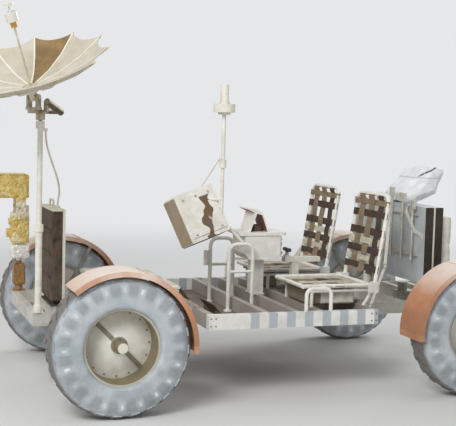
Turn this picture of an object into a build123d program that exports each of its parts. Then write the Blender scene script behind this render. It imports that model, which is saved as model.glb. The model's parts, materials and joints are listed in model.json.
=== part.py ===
from build123d import *
from math import atan2, cos, degrees, pi, radians, sin
import os

# Two-seat planetary rover, parked and unfolded, in millimetres.
# +X is forward, +Y is to the left and +Z is up. The origin is on the ground,
# under the middle of the wheelbase and of the track.

# Wheels
wheelbase = 2286
track = 1829
crown_r = 403            # woven tyre at the middle of the tread
lug_h = 6                # height of the chevrons over the crown
shoulder_r = 378
shoulder_w = 95          # half width at the shoulder
tyre_w = 229
crown_w = 34             # half width of the flat crown
sidewall_r = 310         # radius where the tyre is widest
rim_r = 218
rim_wall = 13
bead_w = 88              # half width at the rim
tyre_sides = 36
chevron_count = 24
chevron_sweep = 60
chevron_t = 48
chevron_w = 92           # half width across the tread
axle_z = crown_r + lug_h

# Hub, drive and steering
stub_r = 24.95
bearing_gap = 0.05
boss_r = 48
cap_r = 31
cap_out = 100            # hub cap, outboard of the middle of the tyre
disc_t = 8
disc_set = 60            # how far the dished disc falls back from boss to rim
disc_sides = 24
bar_w = 26
bar_t = 7
drive_r = 95
drive_in = -170          # drive housing, from the middle of the tyre
drive_out = -30
king_in = 224.5          # kingpin, inboard of the middle of the tyre
king_y = track / 2 - king_in
king_r = 14
king_gap = 0.05
barrel_r = 26
ear_t = 20
ear_gap = 5
ear_z0 = 325
ear_z1 = 500
ear_r = 30
upright_in = 70          # inboard face of the upright, from the kingpin
upright_y = king_y - upright_in
upright_t = 16
steer_arm = 110          # from the kingpin to the tie rod's pin
rod_z_left = 419
rod_z_right = 401
rod_r = 8
eye_r = 17
eye_t = 12
link_pin_r = 6.95
link_gap = 0.05
open_gap = 2             # slack at the outer eye of each tie rod

# Fenders
fender_r = 428
fender_t = 4
fender_in = 140
fender_out = 126
fender_lip = 26
fender_front = 49        # degrees from straight ahead, front wheels
fender_back = 186
fender_seam = 105
rear_fender_front = 30   # the same, measured from straight astern
rear_fender_back = 185

# Chassis
rail_z = 440
rail_h = 80
rail_w = 30
end_rail_y = 420         # rails of the forward and the aft chassis
end_reach = 1545
mid_len = 1120
mid_w = 1520
mid_rail_h = 90
mid_rail_w = 40
mid_deck = rail_z + mid_rail_h
floor_t = 6
post_x = 150             # suspension pivots, fore and aft of the axle
post_w = 36
post_z0 = 350
post_z1 = 545
bay_in = 243             # a cross member of the end chassis, short of the axle
arm_t = 16
arm_drop = 30
upper_arm_z = 520
lower_arm_z = 372
damper_r = 20
cross_w = 40
lug_r = 12               # barrels of the chassis hinges
box_gap = 60             # boxes on the forward chassis, from its hinge
box_l = 280
box_h = 130
box_y = 35
box_w = 330
unit_gap = 25
unit_l = 178             # electronics box
unit_h = 150
unit_y = 45

# Seats
seat_y = 375
seat_w = 470
seat_leg_x = -180
seat_tube = 14
pan_back = -590
pan_front = -100
pan_z = 660
back_h = 560
back_lean = 8.5
web_t = 10
bag_x = -335             # bags under the seats
bag_l = 380
bag_w = 372
bag_h = 104

# Console and forward gear
console_z = 772
console_h = 160
console_w = 250
console_x0 = -143
console_x1 = 104
console_x = -20          # its post
console_post = 46        # half width of the post
lcru_x = 1365
lcru_y = 60
lcru_z = 560
lcru_d = 84
lcru_w = 400
lcru_h = 560
blanket_t = 18           # thermal blanket on the radio's aft face
tv_x = 1500
tv_y = -420
tv_pan_z = 840
tv_tilt_z = 1216
tv_box_l = 212
tv_box_w = 110
tv_box_h = 150
tv_box_back = 52         # camera body behind its tilt axle
tv_cheek_t = 12
mast_x = 1515
mast_y = 420
mast_r = 16
mast_top = 1650
tilt_x = 62              # tilt axle, forward of the mast
tilt_z = 1784
dish_rise = 70           # bottom of the bowl over the tilt axle
dish_r = 488
dish_depth = 142
dish_tilt = 24.5
dish_turn = 41.2
rib_count = 12
mesh_t = 3
scallop = 34             # how far the mesh dips in between two ribs
rib_t = 5
rib_h = 8
lead_r = 6               # antenna lead
lead_y = 200             # where it enters the radio
gland_h = 16
lead_z = 1590            # where it leaves the clamp on the mast
lead_gap = 16            # its middle, off the mast
staff_foot_x = 135
staff_x = 300
staff_y = 190
staff_r = 11
staff_kink = 1045
staff_collar = 1430
staff_top = 1720
hold_z = 884             # top of the riders' inner handholds
hold_back = 75
hold_front = 240
hold_r = 12.7
socket_r = 13            # spare socket for the staff, on the right
case_x = 458             # map case, hung ahead of the staff
case_z = 1066
case_y = 165
case_l = 309
case_h = 325
case_t = 140
case_lean = 17           # nose down
case_back = 20           # top leaning inboard
case_turn = 12

# Aft pallet
pallet_x = -1000
pallet_d = 130
pallet_w = 1056
pallet_z = 644
pallet_h = 506
pallet_wall = 8
hinge_r = 14
bend_steps = 3           # chords in each bend of a tube


def block(x, y, z, dx, dy, dz):
    """Box with its middle over x and y, standing on z."""
    return Pos(x, y, z + dz / 2) * Box(dx, dy, dz)


def span(x0, x1, y0, y1, z0, z1):
    """Box between two corners."""
    return block((x0 + x1) / 2, (y0 + y1) / 2, z0, x1 - x0, y1 - y0, z1 - z0)


def rod(start, end, radius):
    """Round bar from one point to another."""
    run = Vector(*end) - Vector(*start)
    return Solid.make_cylinder(radius, run.length, Plane(start, z_dir=run))


def pipe(points, radius, bend):
    """Round bar along straight runs, each bend rolled in short chords."""
    path = FilletPolyline(*points, radius=bend)
    stops = [path @ 0]
    for edge in path.edges():
        steps = bend_steps if edge.geom_type == GeomType.CIRCLE else 1
        stops += [edge @ (i / steps) for i in range(1, steps + 1)]
    chords = Polyline(*stops)
    return sweep(Plane(stops[0], z_dir=chords % 0) * Circle(radius), chords, transition=Transition.RIGHT)


def faceted(outline, sides):
    """Ring of flat panels: a closed outline of (radius, height) carried round Z."""
    turns = [2 * pi * i / sides for i in range(sides)]
    panels = []
    for (r0, z0), (r1, z1) in zip(outline, outline[1:] + outline[:1]):
        for a, b in zip(turns, turns[1:] + turns[:1]):
            corners = [(r0 * cos(a), r0 * sin(a), z0), (r0 * cos(b), r0 * sin(b), z0),
                       (r1 * cos(b), r1 * sin(b), z1), (r1 * cos(a), r1 * sin(a), z1)]
            panels.append(Face(Wire.make_polygon(corners)))
    return Solid(Shell(panels))


def joined(*shapes):
    return Part() + list(shapes)


def both_sides(shape):
    return joined(shape, mirror(shape, about=Plane.XZ))


def both_ends(shape):
    return joined(shape, mirror(shape, about=Plane.YZ))


def corner(shape, end, side):
    """Front left shape carried to its own end and side of the rover."""
    if end < 0:
        shape = mirror(shape, about=Plane.YZ)
    if side < 0:
        shape = mirror(shape, about=Plane.XZ)
    return shape


# Woven tyre: a ring of flat panels with chevrons riveted across the tread
def tyre():
    half = tyre_w / 2
    bore = rim_r / cos(pi / tyre_sides)
    near = [(bore, bead_w), (sidewall_r, half), (shoulder_r, shoulder_w), (crown_r, crown_w)]
    far = [(r, -y) for r, y in near[::-1]]
    ring = Rot(90, 0, 0) * faceted(near + far, tyre_sides)
    legs = [chevron_leg(1), chevron_leg(-1)]
    return ring + [Rot(0, i * 360 / chevron_count, 0) * leg for i in range(chevron_count) for leg in legs]


def chevron_leg(side):
    """Half a chevron, from the middle of the tread to one shoulder, sunk into the ring."""
    stations = ((crown_r, 0, chevron_sweep), (crown_r, crown_w, chevron_sweep * (1 - crown_w / chevron_w)),
                (shoulder_r, chevron_w, 0))
    corners = []
    for r, y, along in stations:
        for edge in (-chevron_t / 2, chevron_t / 2):
            turn = (along - chevron_sweep + edge) / crown_r
            for radius in (r + lug_h, r - lug_h):
                corners.append((radius * sin(turn), side * y, -radius * cos(turn)))
    return ConvexPolyhedron(corners)


# Spun hub: rim, dished disc, boss and cap, with two bars across the disc
def hub():
    bore = stub_r + bearing_gap
    inner = rim_r - rim_wall
    inboard = drive_out + 6
    spindle = Polyline((bore, inboard), (boss_r, inboard), (boss_r, disc_t + 10), (cap_r, disc_t + 10),
                       (cap_r, cap_out), (0, cap_out), (0, 65), (bore, 65), (bore, inboard))
    rim = Polyline((inner, 8 - bead_w), (rim_r, 8 - bead_w), (rim_r, bead_w), (inner, bead_w),
                   (inner, 8 - bead_w))
    dish = [(boss_r - 2, 0), (inner + 3, disc_set), (inner + 3, disc_set - disc_t), (boss_r - 2, -disc_t)]
    body = revolve(make_face(spindle), Axis.Y) + revolve(make_face(rim), Axis.Y)
    body += Rot(90, 0, 0) * faceted(dish, disc_sides)
    slope = degrees(atan2(disc_set, inner - boss_r))
    run = (inner - boss_r) / cos(radians(slope))
    bar = Pos(boss_r, disc_t, 0) * Rot(0, 0, -slope) * span(-3, run + 1, -1, bar_t, -bar_w / 2, bar_w / 2)
    body += [Rot(0, turn, 0) * bar for turn in (135, 315)]
    return body


# Kingpin barrel, traction drive, steering arm and the struts of the fender
def knuckle(side):
    z0 = ear_z0 + ear_t + ear_gap
    z1 = ear_z1 - ear_t - ear_gap
    wheel_y = track / 2 - king_y
    drive0 = wheel_y + drive_in
    drive1 = wheel_y + drive_out
    body = rod((0, 0, z0), (0, 0, z1), barrel_r)
    body += rod((0, 0, ear_z0 - 4), (0, 0, ear_z1 + 4), king_r)
    body += span(-45, 45, 8, drive0 + 4, axle_z - 42, axle_z + 42)
    body += rod((0, drive0, axle_z), (0, drive1 - 40, axle_z), drive_r)
    body += rod((0, drive1 - 40, axle_z), (0, drive1, axle_z), drive_r - 25)
    body += rod((0, drive1, axle_z), (0, wheel_y + 60, axle_z), stub_r)
    rod_z = rod_z_left if side > 0 else rod_z_right
    plate_z = rod_z - eye_t / 2 - 5
    body += span(-steer_arm, 0, -12, 12, plate_z - 8, plate_z)
    body += rod((-steer_arm, 0, plate_z - 8), (-steer_arm, 0, plate_z), eye_r)
    body += rod((-steer_arm, 0, plate_z - 4), (-steer_arm, 0, rod_z + eye_t / 2 + 4), link_pin_r)
    strut_y = wheel_y - fender_in + 4
    for turn in (75, 120, 160):
        strut = span(drive_r - 10, fender_r, strut_y, strut_y + 6, -11, 11)
        body += Pos(0, 0, axle_z) * Rot(0, -turn, 0) * strut
    return body


# Fender: a fixed arch with an extension lapped over its lower half
def fender(front, back, seam):
    def arch(r, arc0, arc1):
        low = r - fender_lip
        top = r + fender_t
        outline = Polyline((top, -fender_in), (top, fender_out), (low, fender_out), (low, fender_out - fender_t),
                           (r, fender_out - fender_t), (r, -fender_in + fender_t),
                           (low, -fender_in + fender_t), (low, -fender_in), (top, -fender_in))
        return Rot(0, -arc1, 0) * revolve(make_face(outline), Axis.Y, arc1 - arc0)
    whole = arch(fender_r, front, seam + 4) + arch(fender_r + fender_t, seam, back)
    return Pos(0, track / 2, axle_z) * whole


# Fixed upright that carries the kingpin between two ears
def upright():
    height = ear_z1 - ear_z0
    web = block(0, upright_y - king_y + upright_t / 2, ear_z0, 60, upright_t, height)
    body = web
    for z in (ear_z0, ear_z1 - ear_t):
        body += span(-ear_r, ear_r, upright_y - king_y, 0, z, z + ear_t)
        body += rod((0, 0, z), (0, 0, z + ear_t), ear_r)
    body -= rod((0, 0, ear_z0 - 1), (0, 0, ear_z1 + 1), king_r + king_gap)
    return Pos(wheelbase / 2, king_y, 0) * body


# Forward chassis; the aft one is its mirror image
def end_frame():
    x0 = mid_len / 2
    axle = wheelbase / 2
    inner = end_rail_y - rail_w / 2
    top = rail_z + rail_h
    body = span(x0, end_reach, inner, inner + rail_w, rail_z, top)
    for x in (axle - post_x, axle + post_x):
        body += span(x - post_w / 2, x + post_w / 2, inner + rail_w - 2, inner + rail_w + 14,
                     post_z0, post_z1)
    body += span(axle - 18, axle + 18, inner, inner + rail_w + 6, top, top + 40)
    body = both_sides(body)
    for x in (x0 + cross_w / 2, axle - bay_in, axle + 60, lcru_x, end_reach - cross_w / 2):
        body += span(x - cross_w / 2, x + cross_w / 2, -inner, inner, rail_z, top)
    return body


def suspension_arm(z):
    axle = wheelbase / 2
    root = end_rail_y + rail_w / 2 + 8
    tip = upright_y + 6
    outline = Polyline((-post_x - 14, root), (-26, tip), (26, tip), (post_x + 14, root),
                       (post_x - 14, root), (14, tip - 46), (-14, tip - 46), (-post_x + 14, root),
                       (-post_x - 14, root))
    plate = Pos(0, -root, -arm_t / 2) * extrude(make_face(outline), arm_t)
    slope = degrees(atan2(arm_drop, tip - root))
    return Pos(axle, root, z) * Rot(-slope, 0, 0) * plate


def damper():
    axle = wheelbase / 2
    top = (axle, end_rail_y + rail_w / 2, rail_z + rail_h + 22)
    foot = (axle, upright_y - 28, lower_arm_z - arm_drop + 8)
    mid = tuple((a + b) / 2 for a, b in zip(top, foot))
    return rod(top, mid, damper_r) + rod(top, foot, damper_r - 7)


# Centre chassis: side rails, cross members and floor
def centre_frame():
    half = mid_len / 2
    side = mid_w / 2
    body = span(-half, half, side - mid_rail_w, side, rail_z, mid_deck)
    for x in (-half + lug_r, half - lug_r):
        for y in (end_rail_y - 60, end_rail_y + 60):
            body += rod((x, y - 28, mid_deck + lug_r / 2), (x, y + 28, mid_deck + lug_r / 2), lug_r)
    body = both_sides(body)
    for x in (-half + cross_w / 2, seat_leg_x, console_x, 180, half - cross_w / 2):
        body += span(x - cross_w / 2, x + cross_w / 2, mid_rail_w - side, side - mid_rail_w, rail_z, mid_deck)
    return body


def floor_panels(frame):
    half = mid_len / 2 - 40
    side = mid_w / 2 - mid_rail_w
    return span(-half, half, -side, side, rail_z, rail_z + floor_t) - frame


# Steering gearbox under each end, with the sector below it
def gearbox():
    axle = wheelbase / 2
    box = span(axle - 45, axle + 40, -55, 55, rail_z - 4, rail_z + rail_h)
    box += rod((axle - 4, 0, rail_z + rail_h), (axle - 4, 0, rail_z + rail_h + 60), 34)
    return box - rod((axle, 0, rail_z - 5), (axle, 0, rail_z + 32), 12)


def sector():
    axle = wheelbase / 2
    z = rod_z_right - eye_t / 2 - 5
    body = rod((axle, 0, z - 8), (axle, 0, rail_z + 28), 12 - link_gap)
    body += rod((axle, 0, z - 8), (axle, 0, z), 24)
    body += span(axle - steer_arm, axle, -14, 14, z - 8, z)
    body += rod((axle - steer_arm, 0, z - 8), (axle - steer_arm, 0, z), eye_r)
    body += rod((axle - steer_arm, 0, z - 4), (axle - steer_arm, 0, rod_z_left + eye_t / 2 + 2), link_pin_r)
    return body


def tie_rod(side):
    x = wheelbase / 2 - steer_arm
    z = rod_z_left if side > 0 else rod_z_right
    end = side * king_y
    inset = side * (eye_r - 2)
    body = rod((x, inset, z), (x, end - inset, z), rod_r)
    for y, hole in ((0, link_pin_r + link_gap), (end, link_pin_r + open_gap)):
        body += rod((x, y, z - eye_t / 2), (x, y, z + eye_t / 2), eye_r)
    for y, hole in ((0, link_pin_r + link_gap), (end, link_pin_r + open_gap)):
        body -= rod((x, y, z - eye_t), (x, y, z + eye_t), hole)
    return body


# Boxes on the forward chassis
def lidded_box(x0, x1, y0, y1, height):
    """Box on the forward chassis with a lid that stands proud of its walls."""
    top = rail_z + rail_h
    body = span(x0 + 6, x1 - 6, y0 + 6, y1 - 6, top, top + height - 22)
    lid = span(x0, x1, y0, y1, top + height - 22, top + height)
    lid = chamfer(lid.edges().group_by(Axis.Z)[-1], 9)
    body += lid
    for y in (y0 + 0.25 * (y1 - y0), y1 - 0.25 * (y1 - y0)):
        body += span(x0 - 3, x0 + 8, y - 16, y + 16, top + height - 50, top + height - 10)
    return body


def deck_boxes():
    x0 = mid_len / 2 + box_gap
    x1 = x0 + box_l
    edge = box_y + box_w
    batteries = lidded_box(x0, x1, box_y, edge, box_h)
    electronics = lidded_box(x1 + unit_gap, x1 + unit_gap + unit_l, unit_y, edge, unit_h)
    return both_sides(joined(batteries, electronics))


# Radio: tall slab on a foot, blanket on its aft face, handle on top
def lcru():
    top = rail_z + rail_h
    x0 = lcru_x - lcru_d / 2
    x1 = lcru_x + lcru_d / 2
    y0 = lcru_y - lcru_w / 2
    y1 = lcru_y + lcru_w / 2
    body = span(x0 + blanket_t, x1, y0, y1, lcru_z, lcru_z + lcru_h)
    body = chamfer(body.edges().filter_by(Axis.Z), 8)
    body += span(x0, x0 + blanket_t, y0 + 10, y1 - 10, lcru_z + 10, lcru_z + lcru_h - 6)
    body += span(x0 + 20, x1 - 20, y0 + 40, y1 - 40, top, lcru_z)
    body += span(x0 + 8, x1 - 4, y0 + 20, y1 - 20, top, top + 12)
    for z in range(3):
        rib = lcru_z + lcru_h * (0.25 + 0.25 * z)
        body += span(x1 - 2, x1 + 8, y0 + 30, y1 - 30, rib - 6, rib + 6)
    head = lcru_z + lcru_h
    body += pipe([(lcru_x + 10, lcru_y - 60, head - 2), (lcru_x + 10, lcru_y - 60, head + 42),
                  (lcru_x + 10, lcru_y + 60, head + 42), (lcru_x + 10, lcru_y + 60, head - 2)], 7, 18)
    body += rod((lcru_x, lead_y, head - 2), (lcru_x, lead_y, head + gland_h), lead_r + 7)
    return body


# Television camera on its staff at the front right
def tv_staff():
    top = rail_z + rail_h
    body = rod((tv_x, tv_y, top), (tv_x, tv_y, tv_pan_z), 18)
    body += block(tv_x, tv_y, top, 80, rail_w, 14)
    body += rod((tv_x, tv_y, top + 10), (tv_x, tv_y, top + 70), 26)
    body += rod((tv_x, tv_y, tv_pan_z - 60), (tv_x, tv_y, tv_pan_z), 40)
    body += rod((tv_x, tv_y, tv_pan_z), (tv_x, tv_y, tv_pan_z + 40), 13.95)
    return body


def tv_head():
    base = tv_pan_z + 5
    deck = base + 195
    inside = tv_box_w / 2 + 6
    body = block(tv_x, tv_y, base, 110, 2 * inside, 195)
    body = chamfer(body.edges().filter_by(Axis.Z), 10)
    body += block(tv_x - 34, tv_y, deck - 1, 42, 100, 50)
    body += rod((tv_x + 50, tv_y - 20, base + 60), (tv_x + 82, tv_y - 20, base + 60), 30)
    body += rod((tv_x + 50, tv_y + 26, base + 140), (tv_x + 76, tv_y + 26, base + 140), 22)
    for y in (tv_y - inside - tv_cheek_t / 2, tv_y + inside + tv_cheek_t / 2):
        body += span(tv_x - 32, tv_x + 32, y - tv_cheek_t / 2, y + tv_cheek_t / 2, deck - 40, tv_tilt_z)
        body += rod((tv_x, y - tv_cheek_t / 2, tv_tilt_z), (tv_x, y + tv_cheek_t / 2, tv_tilt_z), 32)
    body -= rod((tv_x, tv_y, base - 1), (tv_x, tv_y, base + 40), 14)
    reach = inside + tv_cheek_t + 5
    return body - rod((tv_x, tv_y - reach, tv_tilt_z), (tv_x, tv_y + reach, tv_tilt_z), 12)


def tv_camera():
    x0 = tv_x - tv_box_back
    x1 = x0 + tv_box_l
    low = tv_tilt_z - tv_box_h / 2
    body = span(x0, x1, tv_y - tv_box_w / 2, tv_y + tv_box_w / 2, low, low + tv_box_h)
    body = chamfer(body.edges().filter_by(Axis.X), 10)
    body += span(x0 + 20, x1 + 30, tv_y - tv_box_w / 2, tv_y + tv_box_w / 2, low + tv_box_h, low + tv_box_h + 8)
    reach = tv_box_w / 2 + 6 + tv_cheek_t + 4
    body += rod((tv_x, tv_y - reach, tv_tilt_z), (tv_x, tv_y + reach, tv_tilt_z), 11.95)
    body += rod((x1 - 2, tv_y, tv_tilt_z), (x1 + 70, tv_y, tv_tilt_z), 36)
    body += rod((x1 + 70, tv_y, tv_tilt_z), (x1 + 100, tv_y, tv_tilt_z), 44)
    return body - rod((x1 + 60, tv_y, tv_tilt_z), (x1 + 101, tv_y, tv_tilt_z), 34)


# High-gain antenna: mast, gimbal and umbrella dish
def hga_mast():
    top = rail_z + rail_h
    body = rod((mast_x, mast_y, top), (mast_x, mast_y, 1022), mast_r + 4)
    body += rod((mast_x, mast_y, 1022), (mast_x, mast_y, mast_top), mast_r)
    body += block(mast_x, mast_y, top, 60, rail_w, 14)
    for z in (top, 1000, mast_top - 44):
        body += rod((mast_x, mast_y, z), (mast_x, mast_y, z + 44), mast_r + 10)
    body += rod((mast_x, mast_y, mast_top), (mast_x, mast_y, mast_top + 40), 11.95)
    lead_x = mast_x - mast_r - lead_gap
    body += span(lead_x, mast_x, mast_y - 9, mast_y + 9, lead_z, lead_z + 18)
    body += rod((lead_x, mast_y, lead_z), (lead_x, mast_y, lead_z + 18), lead_r + 5)
    return body


def turned(shape):
    """Shape drawn with the dish facing +X, carried to the mast's turn."""
    return Pos(mast_x, mast_y, 0) * Rot(0, 0, dish_turn) * shape


def gimbal():
    z = tilt_z
    base = mast_top + 5
    body = rod((0, 0, base), (0, 0, base + 60), 27)
    body += span(-24, tilt_x + 26, -24, 24, base + 38, base + 60)
    body += span(tilt_x - 26, tilt_x + 26, -39, 39, base + 58, base + 74)
    for y in (-33, 33):
        body += span(tilt_x - 20, tilt_x + 20, y - 6, y + 6, base + 72, z)
        body += rod((tilt_x, y - 6, z), (tilt_x, y + 6, z), 20)
    body += span(-90, -20, -8, 8, base + 40, base + 56)
    body += rod((-90, -46, base + 48), (-90, 46, base + 48), 11)
    body += rod((20, 60, base + 108), (-118, 60, base + 48), 21)
    body += span(0, 30, 20, 50, base + 40, base + 60)
    body += span(0, 24, 42, 66, base + 50, base + 100)
    body -= rod((0, 0, mast_top), (0, 0, mast_top + 45), 12)
    body -= rod((tilt_x, -50, z), (tilt_x, 50, z), 8)
    return turned(body)


def tilted(shape):
    """Shape drawn about the dish's own axis, up along Z from the tilt axle."""
    return turned(Pos(tilt_x, 0, tilt_z) * Rot(0, dish_tilt, 0) * shape)


def bowl_z(share):
    """Height of the bowl's underside over the tilt axle, at a share of its radius."""
    return dish_rise + dish_depth * share ** 2


rib_shares = (0.1, 0.4, 0.7, 1)


def dish_rib():
    """One rib, under the ridge between two gores, with its tip past the rim."""
    upper = [(dish_r * k, bowl_z(k)) for k in rib_shares]
    tip = (dish_r + 12, bowl_z(1 + 12 / dish_r))
    lower = [(dish_r * k, bowl_z(k) - rib_h) for k in rib_shares[::-1]]
    outline = Polyline(*upper, tip, (tip[0], tip[1] - rib_h / 2), *lower, upper[0])
    return Rot(90, 0, 0) * (Pos(0, 0, -rib_t / 2) * extrude(make_face(outline), rib_t))


def dish_frame():
    body = rod((0, -44, 0), (0, 44, 0), 7.95)
    body += span(-16, 16, -20, 20, -16, dish_rise - 24)
    body += rod((0, 0, dish_rise - 26), (0, 0, bowl_z(rib_shares[0])), dish_r * rib_shares[0] + 4)
    for i in range(rib_count):
        body += Rot(0, 0, i * 360 / rib_count) * dish_rib()
    body += rod((0, 0, dish_rise), (0, 0, 558), 6)
    body += rod((0, 0, 425), (0, 0, 462), 19)
    body += rod((0, 0, 462), (0, 0, 512), 36)
    body += rod((0, 0, 556), (0, 0, 568), 30)
    return tilted(body)


def dish_mesh():
    """Twelve flat gores on the ribs, with the rim scalloped between their tips."""
    under = [(dish_r * k, bowl_z(k)) for k in rib_shares]
    upper = [(r, z + mesh_t) for r, z in under[::-1]]
    bowl = faceted(under + upper, rib_count)
    half = pi / rib_count
    chord = dish_r * sin(half)
    bite = (chord ** 2 + scallop ** 2) / (2 * scallop)
    reach = dish_r * cos(half) - scallop + bite
    low = bowl_z(rib_shares[-2])
    for i in range(rib_count):
        turn = Rot(0, 0, (i + 0.5) * 360 / rib_count)
        bowl -= turn * rod((reach, 0, low), (reach, 0, bowl_z(1) + 20), bite)
    return tilted(bowl)


# Lead from the top of the mast down to the radio, clear of everything between
def antenna_lead():
    head = lcru_z + lcru_h + gland_h
    x = mast_x - mast_r - lead_gap
    route = [(x, mast_y, lead_z), (x, mast_y, lead_z - 60), (1440, 372, 1420), (1385, 300, 1305),
             (1358, 228, 1218), (lcru_x, lead_y, head + 34), (lcru_x, lead_y, head)]
    path = FilletPolyline(*route, radius=lead_bends(route))
    return sweep(Plane(path @ 0, z_dir=path % 0) * Circle(lead_r), path)


def lead_bends(route):
    """Bend radii as large as the runs on both sides of each point allow."""
    radii = []
    for a, b, c in zip(route, route[1:], route[2:]):
        into = Vector(*b) - Vector(*a)
        out = Vector(*c) - Vector(*b)
        half = radians(into.get_angle(out) / 2)
        radii.append(0.45 * min(into.length, out.length) * cos(half) / sin(half))
    print("lead bend radii", [round(r) for r in radii])
    return radii


# Low-gain antenna on its staff
def lga_staff():
    body = pipe([(staff_foot_x, staff_y, hold_z), (staff_x, staff_y, staff_kink),
                 (staff_x, staff_y, staff_collar)], staff_r, 120)
    body += rod((staff_x, staff_y, staff_collar - 50), (staff_x, staff_y, staff_collar), 22)
    body += rod((staff_x, staff_y, staff_collar), (staff_x, staff_y, staff_collar + 40), 7.95)
    return body - handholds()


def lga_antenna():
    x = staff_x
    y = staff_y
    z = staff_top
    body = rod((x, y, staff_collar + 2), (x, y, z), staff_r + 2)
    body += rod((x, y, z), (x, y, z + 14), 40)
    body += rod((x, y, z + 14), (x, y, z + 68), 70)
    body += rod((x, y, z + 68), (x, y, z + 82), 34)
    body += rod((x, y, z + 82), (x, y, z + 190), 27)
    return body - rod((x, y, staff_collar), (x, y, staff_collar + 45), 8)


# Console between the riders' feet
def console():
    half = console_w / 2
    top = console_z + console_h
    side = Polyline((console_x0, console_z), (console_x1 - 30, console_z), (console_x1, console_z + 40),
                    (console_x1, top), (console_x0, top), (console_x0, console_z))
    body = Pos(0, half, 0) * Rot(90, 0, 0) * extrude(make_face(side), 2 * half)
    lid = span(console_x0 - 40, console_x1 + 40, -half - 8, half + 8, top, top + 20)
    body += chamfer(lid.edges().filter_by(Axis.Z), 14)
    body += span(console_x0 - 14, console_x0 + 2, -half + 14, half - 14, console_z + 14, top - 10)
    body += span(console_x - 40, console_x + 40, -console_post, console_post, mid_deck, console_z)
    body += span(console_x - 40, console_x + 40, -console_post - 28, console_post + 28, mid_deck, mid_deck + 8)
    for y in (-half / 2, half / 2):
        body += rod((console_x0 - 13, y, console_z + 96), (console_x0 - 24, y, console_z + 96), 24)
    body += span(console_x0 - 30, console_x0 - 13, -half + 30, half - 30, console_z + 34, console_z + 46)
    return body + console_hood()


def console_hood():
    """Open shade over the instruments on the console's top plate."""
    top = console_z + console_h + 20
    outline = Polyline((-74, top), (-30, top + 122), (14, top + 150), (74, top + 158), (76, top + 150),
                       (30, top + 128), (66, top), (58, top), (14, top + 122), (-22, top + 112), (-64, top),
                       (-74, top))
    shade = Pos(0, 90, 0) * Rot(90, 0, 0) * extrude(make_face(outline), 180)
    return shade + span(-30, 20, -60, 60, top, top + 40)


def handholds():
    foot = rail_z + floor_t
    x0 = hold_back
    x1 = hold_front
    hold = pipe([(x0, staff_y, foot), (x0, staff_y, hold_z), (x1, staff_y, hold_z), (x1, staff_y, foot)],
                hold_r, 50)
    hold += rod((x0, staff_y, foot), (x0, staff_y, foot + 10), hold_r + 14)
    hold += rod((x1, staff_y, foot), (x1, staff_y, foot + 10), hold_r + 14)
    hold += rod((x0, staff_y, hold_z - 180), (x1, staff_y, hold_z - 180), hold_r - 3)
    holds = both_sides(hold)
    sleeve = x1 + hold_r + socket_r + 2
    holds += rod((sleeve, -staff_y, 700), (sleeve, -staff_y, 800), socket_r + 6)
    return holds - rod((sleeve, -staff_y, 699), (sleeve, -staff_y, 801), socket_r)


def outer_handholds():
    foot = mid_deck
    y = mid_w / 2 - mid_rail_w / 2
    hold = pipe([(-240, y, foot), (-240, y, foot + 140), (-75, y, foot + 140), (-75, y, foot)], 12, 40)
    return both_sides(hold)


def map_case():
    box = Box(case_l, case_t, case_h)
    box = chamfer(box.edges().filter_by(Axis.Y), 12)
    flap = Pos(0, case_t / 2 + 3, 0) * Box(case_l - 40, 8, case_h - 60)
    body = Rot(0, 0, case_turn) * Rot(case_back, case_lean, 0) * (box + flap)
    body = Pos(case_x, case_y, case_z) * body
    for z in (case_z + 60, case_z + 110):
        body += rod((staff_x, staff_y, z), (case_x, staff_y, z), 8)
    return body - lga_staff()


# Raised plate on two blocks ahead of each rider's feet
def foot_rests():
    x = mid_len / 2 - 150
    deck = rail_z + floor_t
    body = Pos(x, seat_y, deck + 60) * Rot(0, -50, 0) * Box(120, 300, 8)
    for y in (seat_y - 110, seat_y + 110):
        body += span(x - 16, x + 16, y - 12, y + 12, deck, deck + 60)
    return both_sides(body)


# Seats: fixed tube frames with a webbed back, and a webbed pan that tips up
def seat_frame():
    half = seat_w / 2
    pin_x = pan_back + seat_tube
    low = pan_z - 46
    body = Part()
    for s in (-1, 1):
        y = s * (half - 30)
        edge = sorted((s * (half - 40), s * (half + 13)))
        plate = sorted((s * (half + 5), s * (half + 13)))
        body += span(pan_back - 38, pan_back - 8, edge[0], edge[1], low, pan_z + 20)
        body += span(pan_back - 38, pin_x + 22, plate[0], plate[1], low, pan_z + 20)
        body += rod((pan_back - 10, y, low + 12), (-150, y, low + 12), 11)
        body += rod((seat_leg_x, y, mid_deck), (seat_leg_x, y, low + 12), 11)
        body += rod((pan_back - 16, y, low + 12), (-mid_len / 2 + 20, y, mid_deck - 4), 11)
    body -= rod((pin_x, -half - 14, pan_z), (pin_x, half + 14, pan_z), 10)
    return Pos(0, seat_y, 0) * body


def seat_back_frame():
    half = seat_w / 2 - 14
    body = pipe([(0, -half, 0), (0, -half, back_h), (0, half, back_h), (0, half, 0)],
                seat_tube, 60)
    return Pos(pan_back - 23, seat_y, pan_z + 16) * Rot(0, -back_lean, 0) * body


def seat_pan():
    half = seat_w / 2 - seat_tube
    x0 = pan_back + seat_tube
    x1 = pan_front - seat_tube
    body = Part()
    for x in (x0, x1):
        body += rod((x, -half, pan_z), (x, half, pan_z), seat_tube)
    for y in (-half, half):
        body += rod((x0, y, pan_z), (x1, y, pan_z), seat_tube)
    body += rod((x0, -seat_w / 2 - 12, pan_z), (x0, seat_w / 2 + 12, pan_z), 9.95)
    return Pos(0, seat_y, 0) * body


def seat_web():
    half = seat_w / 2 - 2 * seat_tube - 0.3
    x0 = pan_back + 2 * seat_tube + 0.3
    x1 = pan_front - 2 * seat_tube - 0.3
    return Pos(0, seat_y, 0) * span(x0, x1, -half, half, pan_z - web_t / 2, pan_z + web_t / 2)


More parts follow.
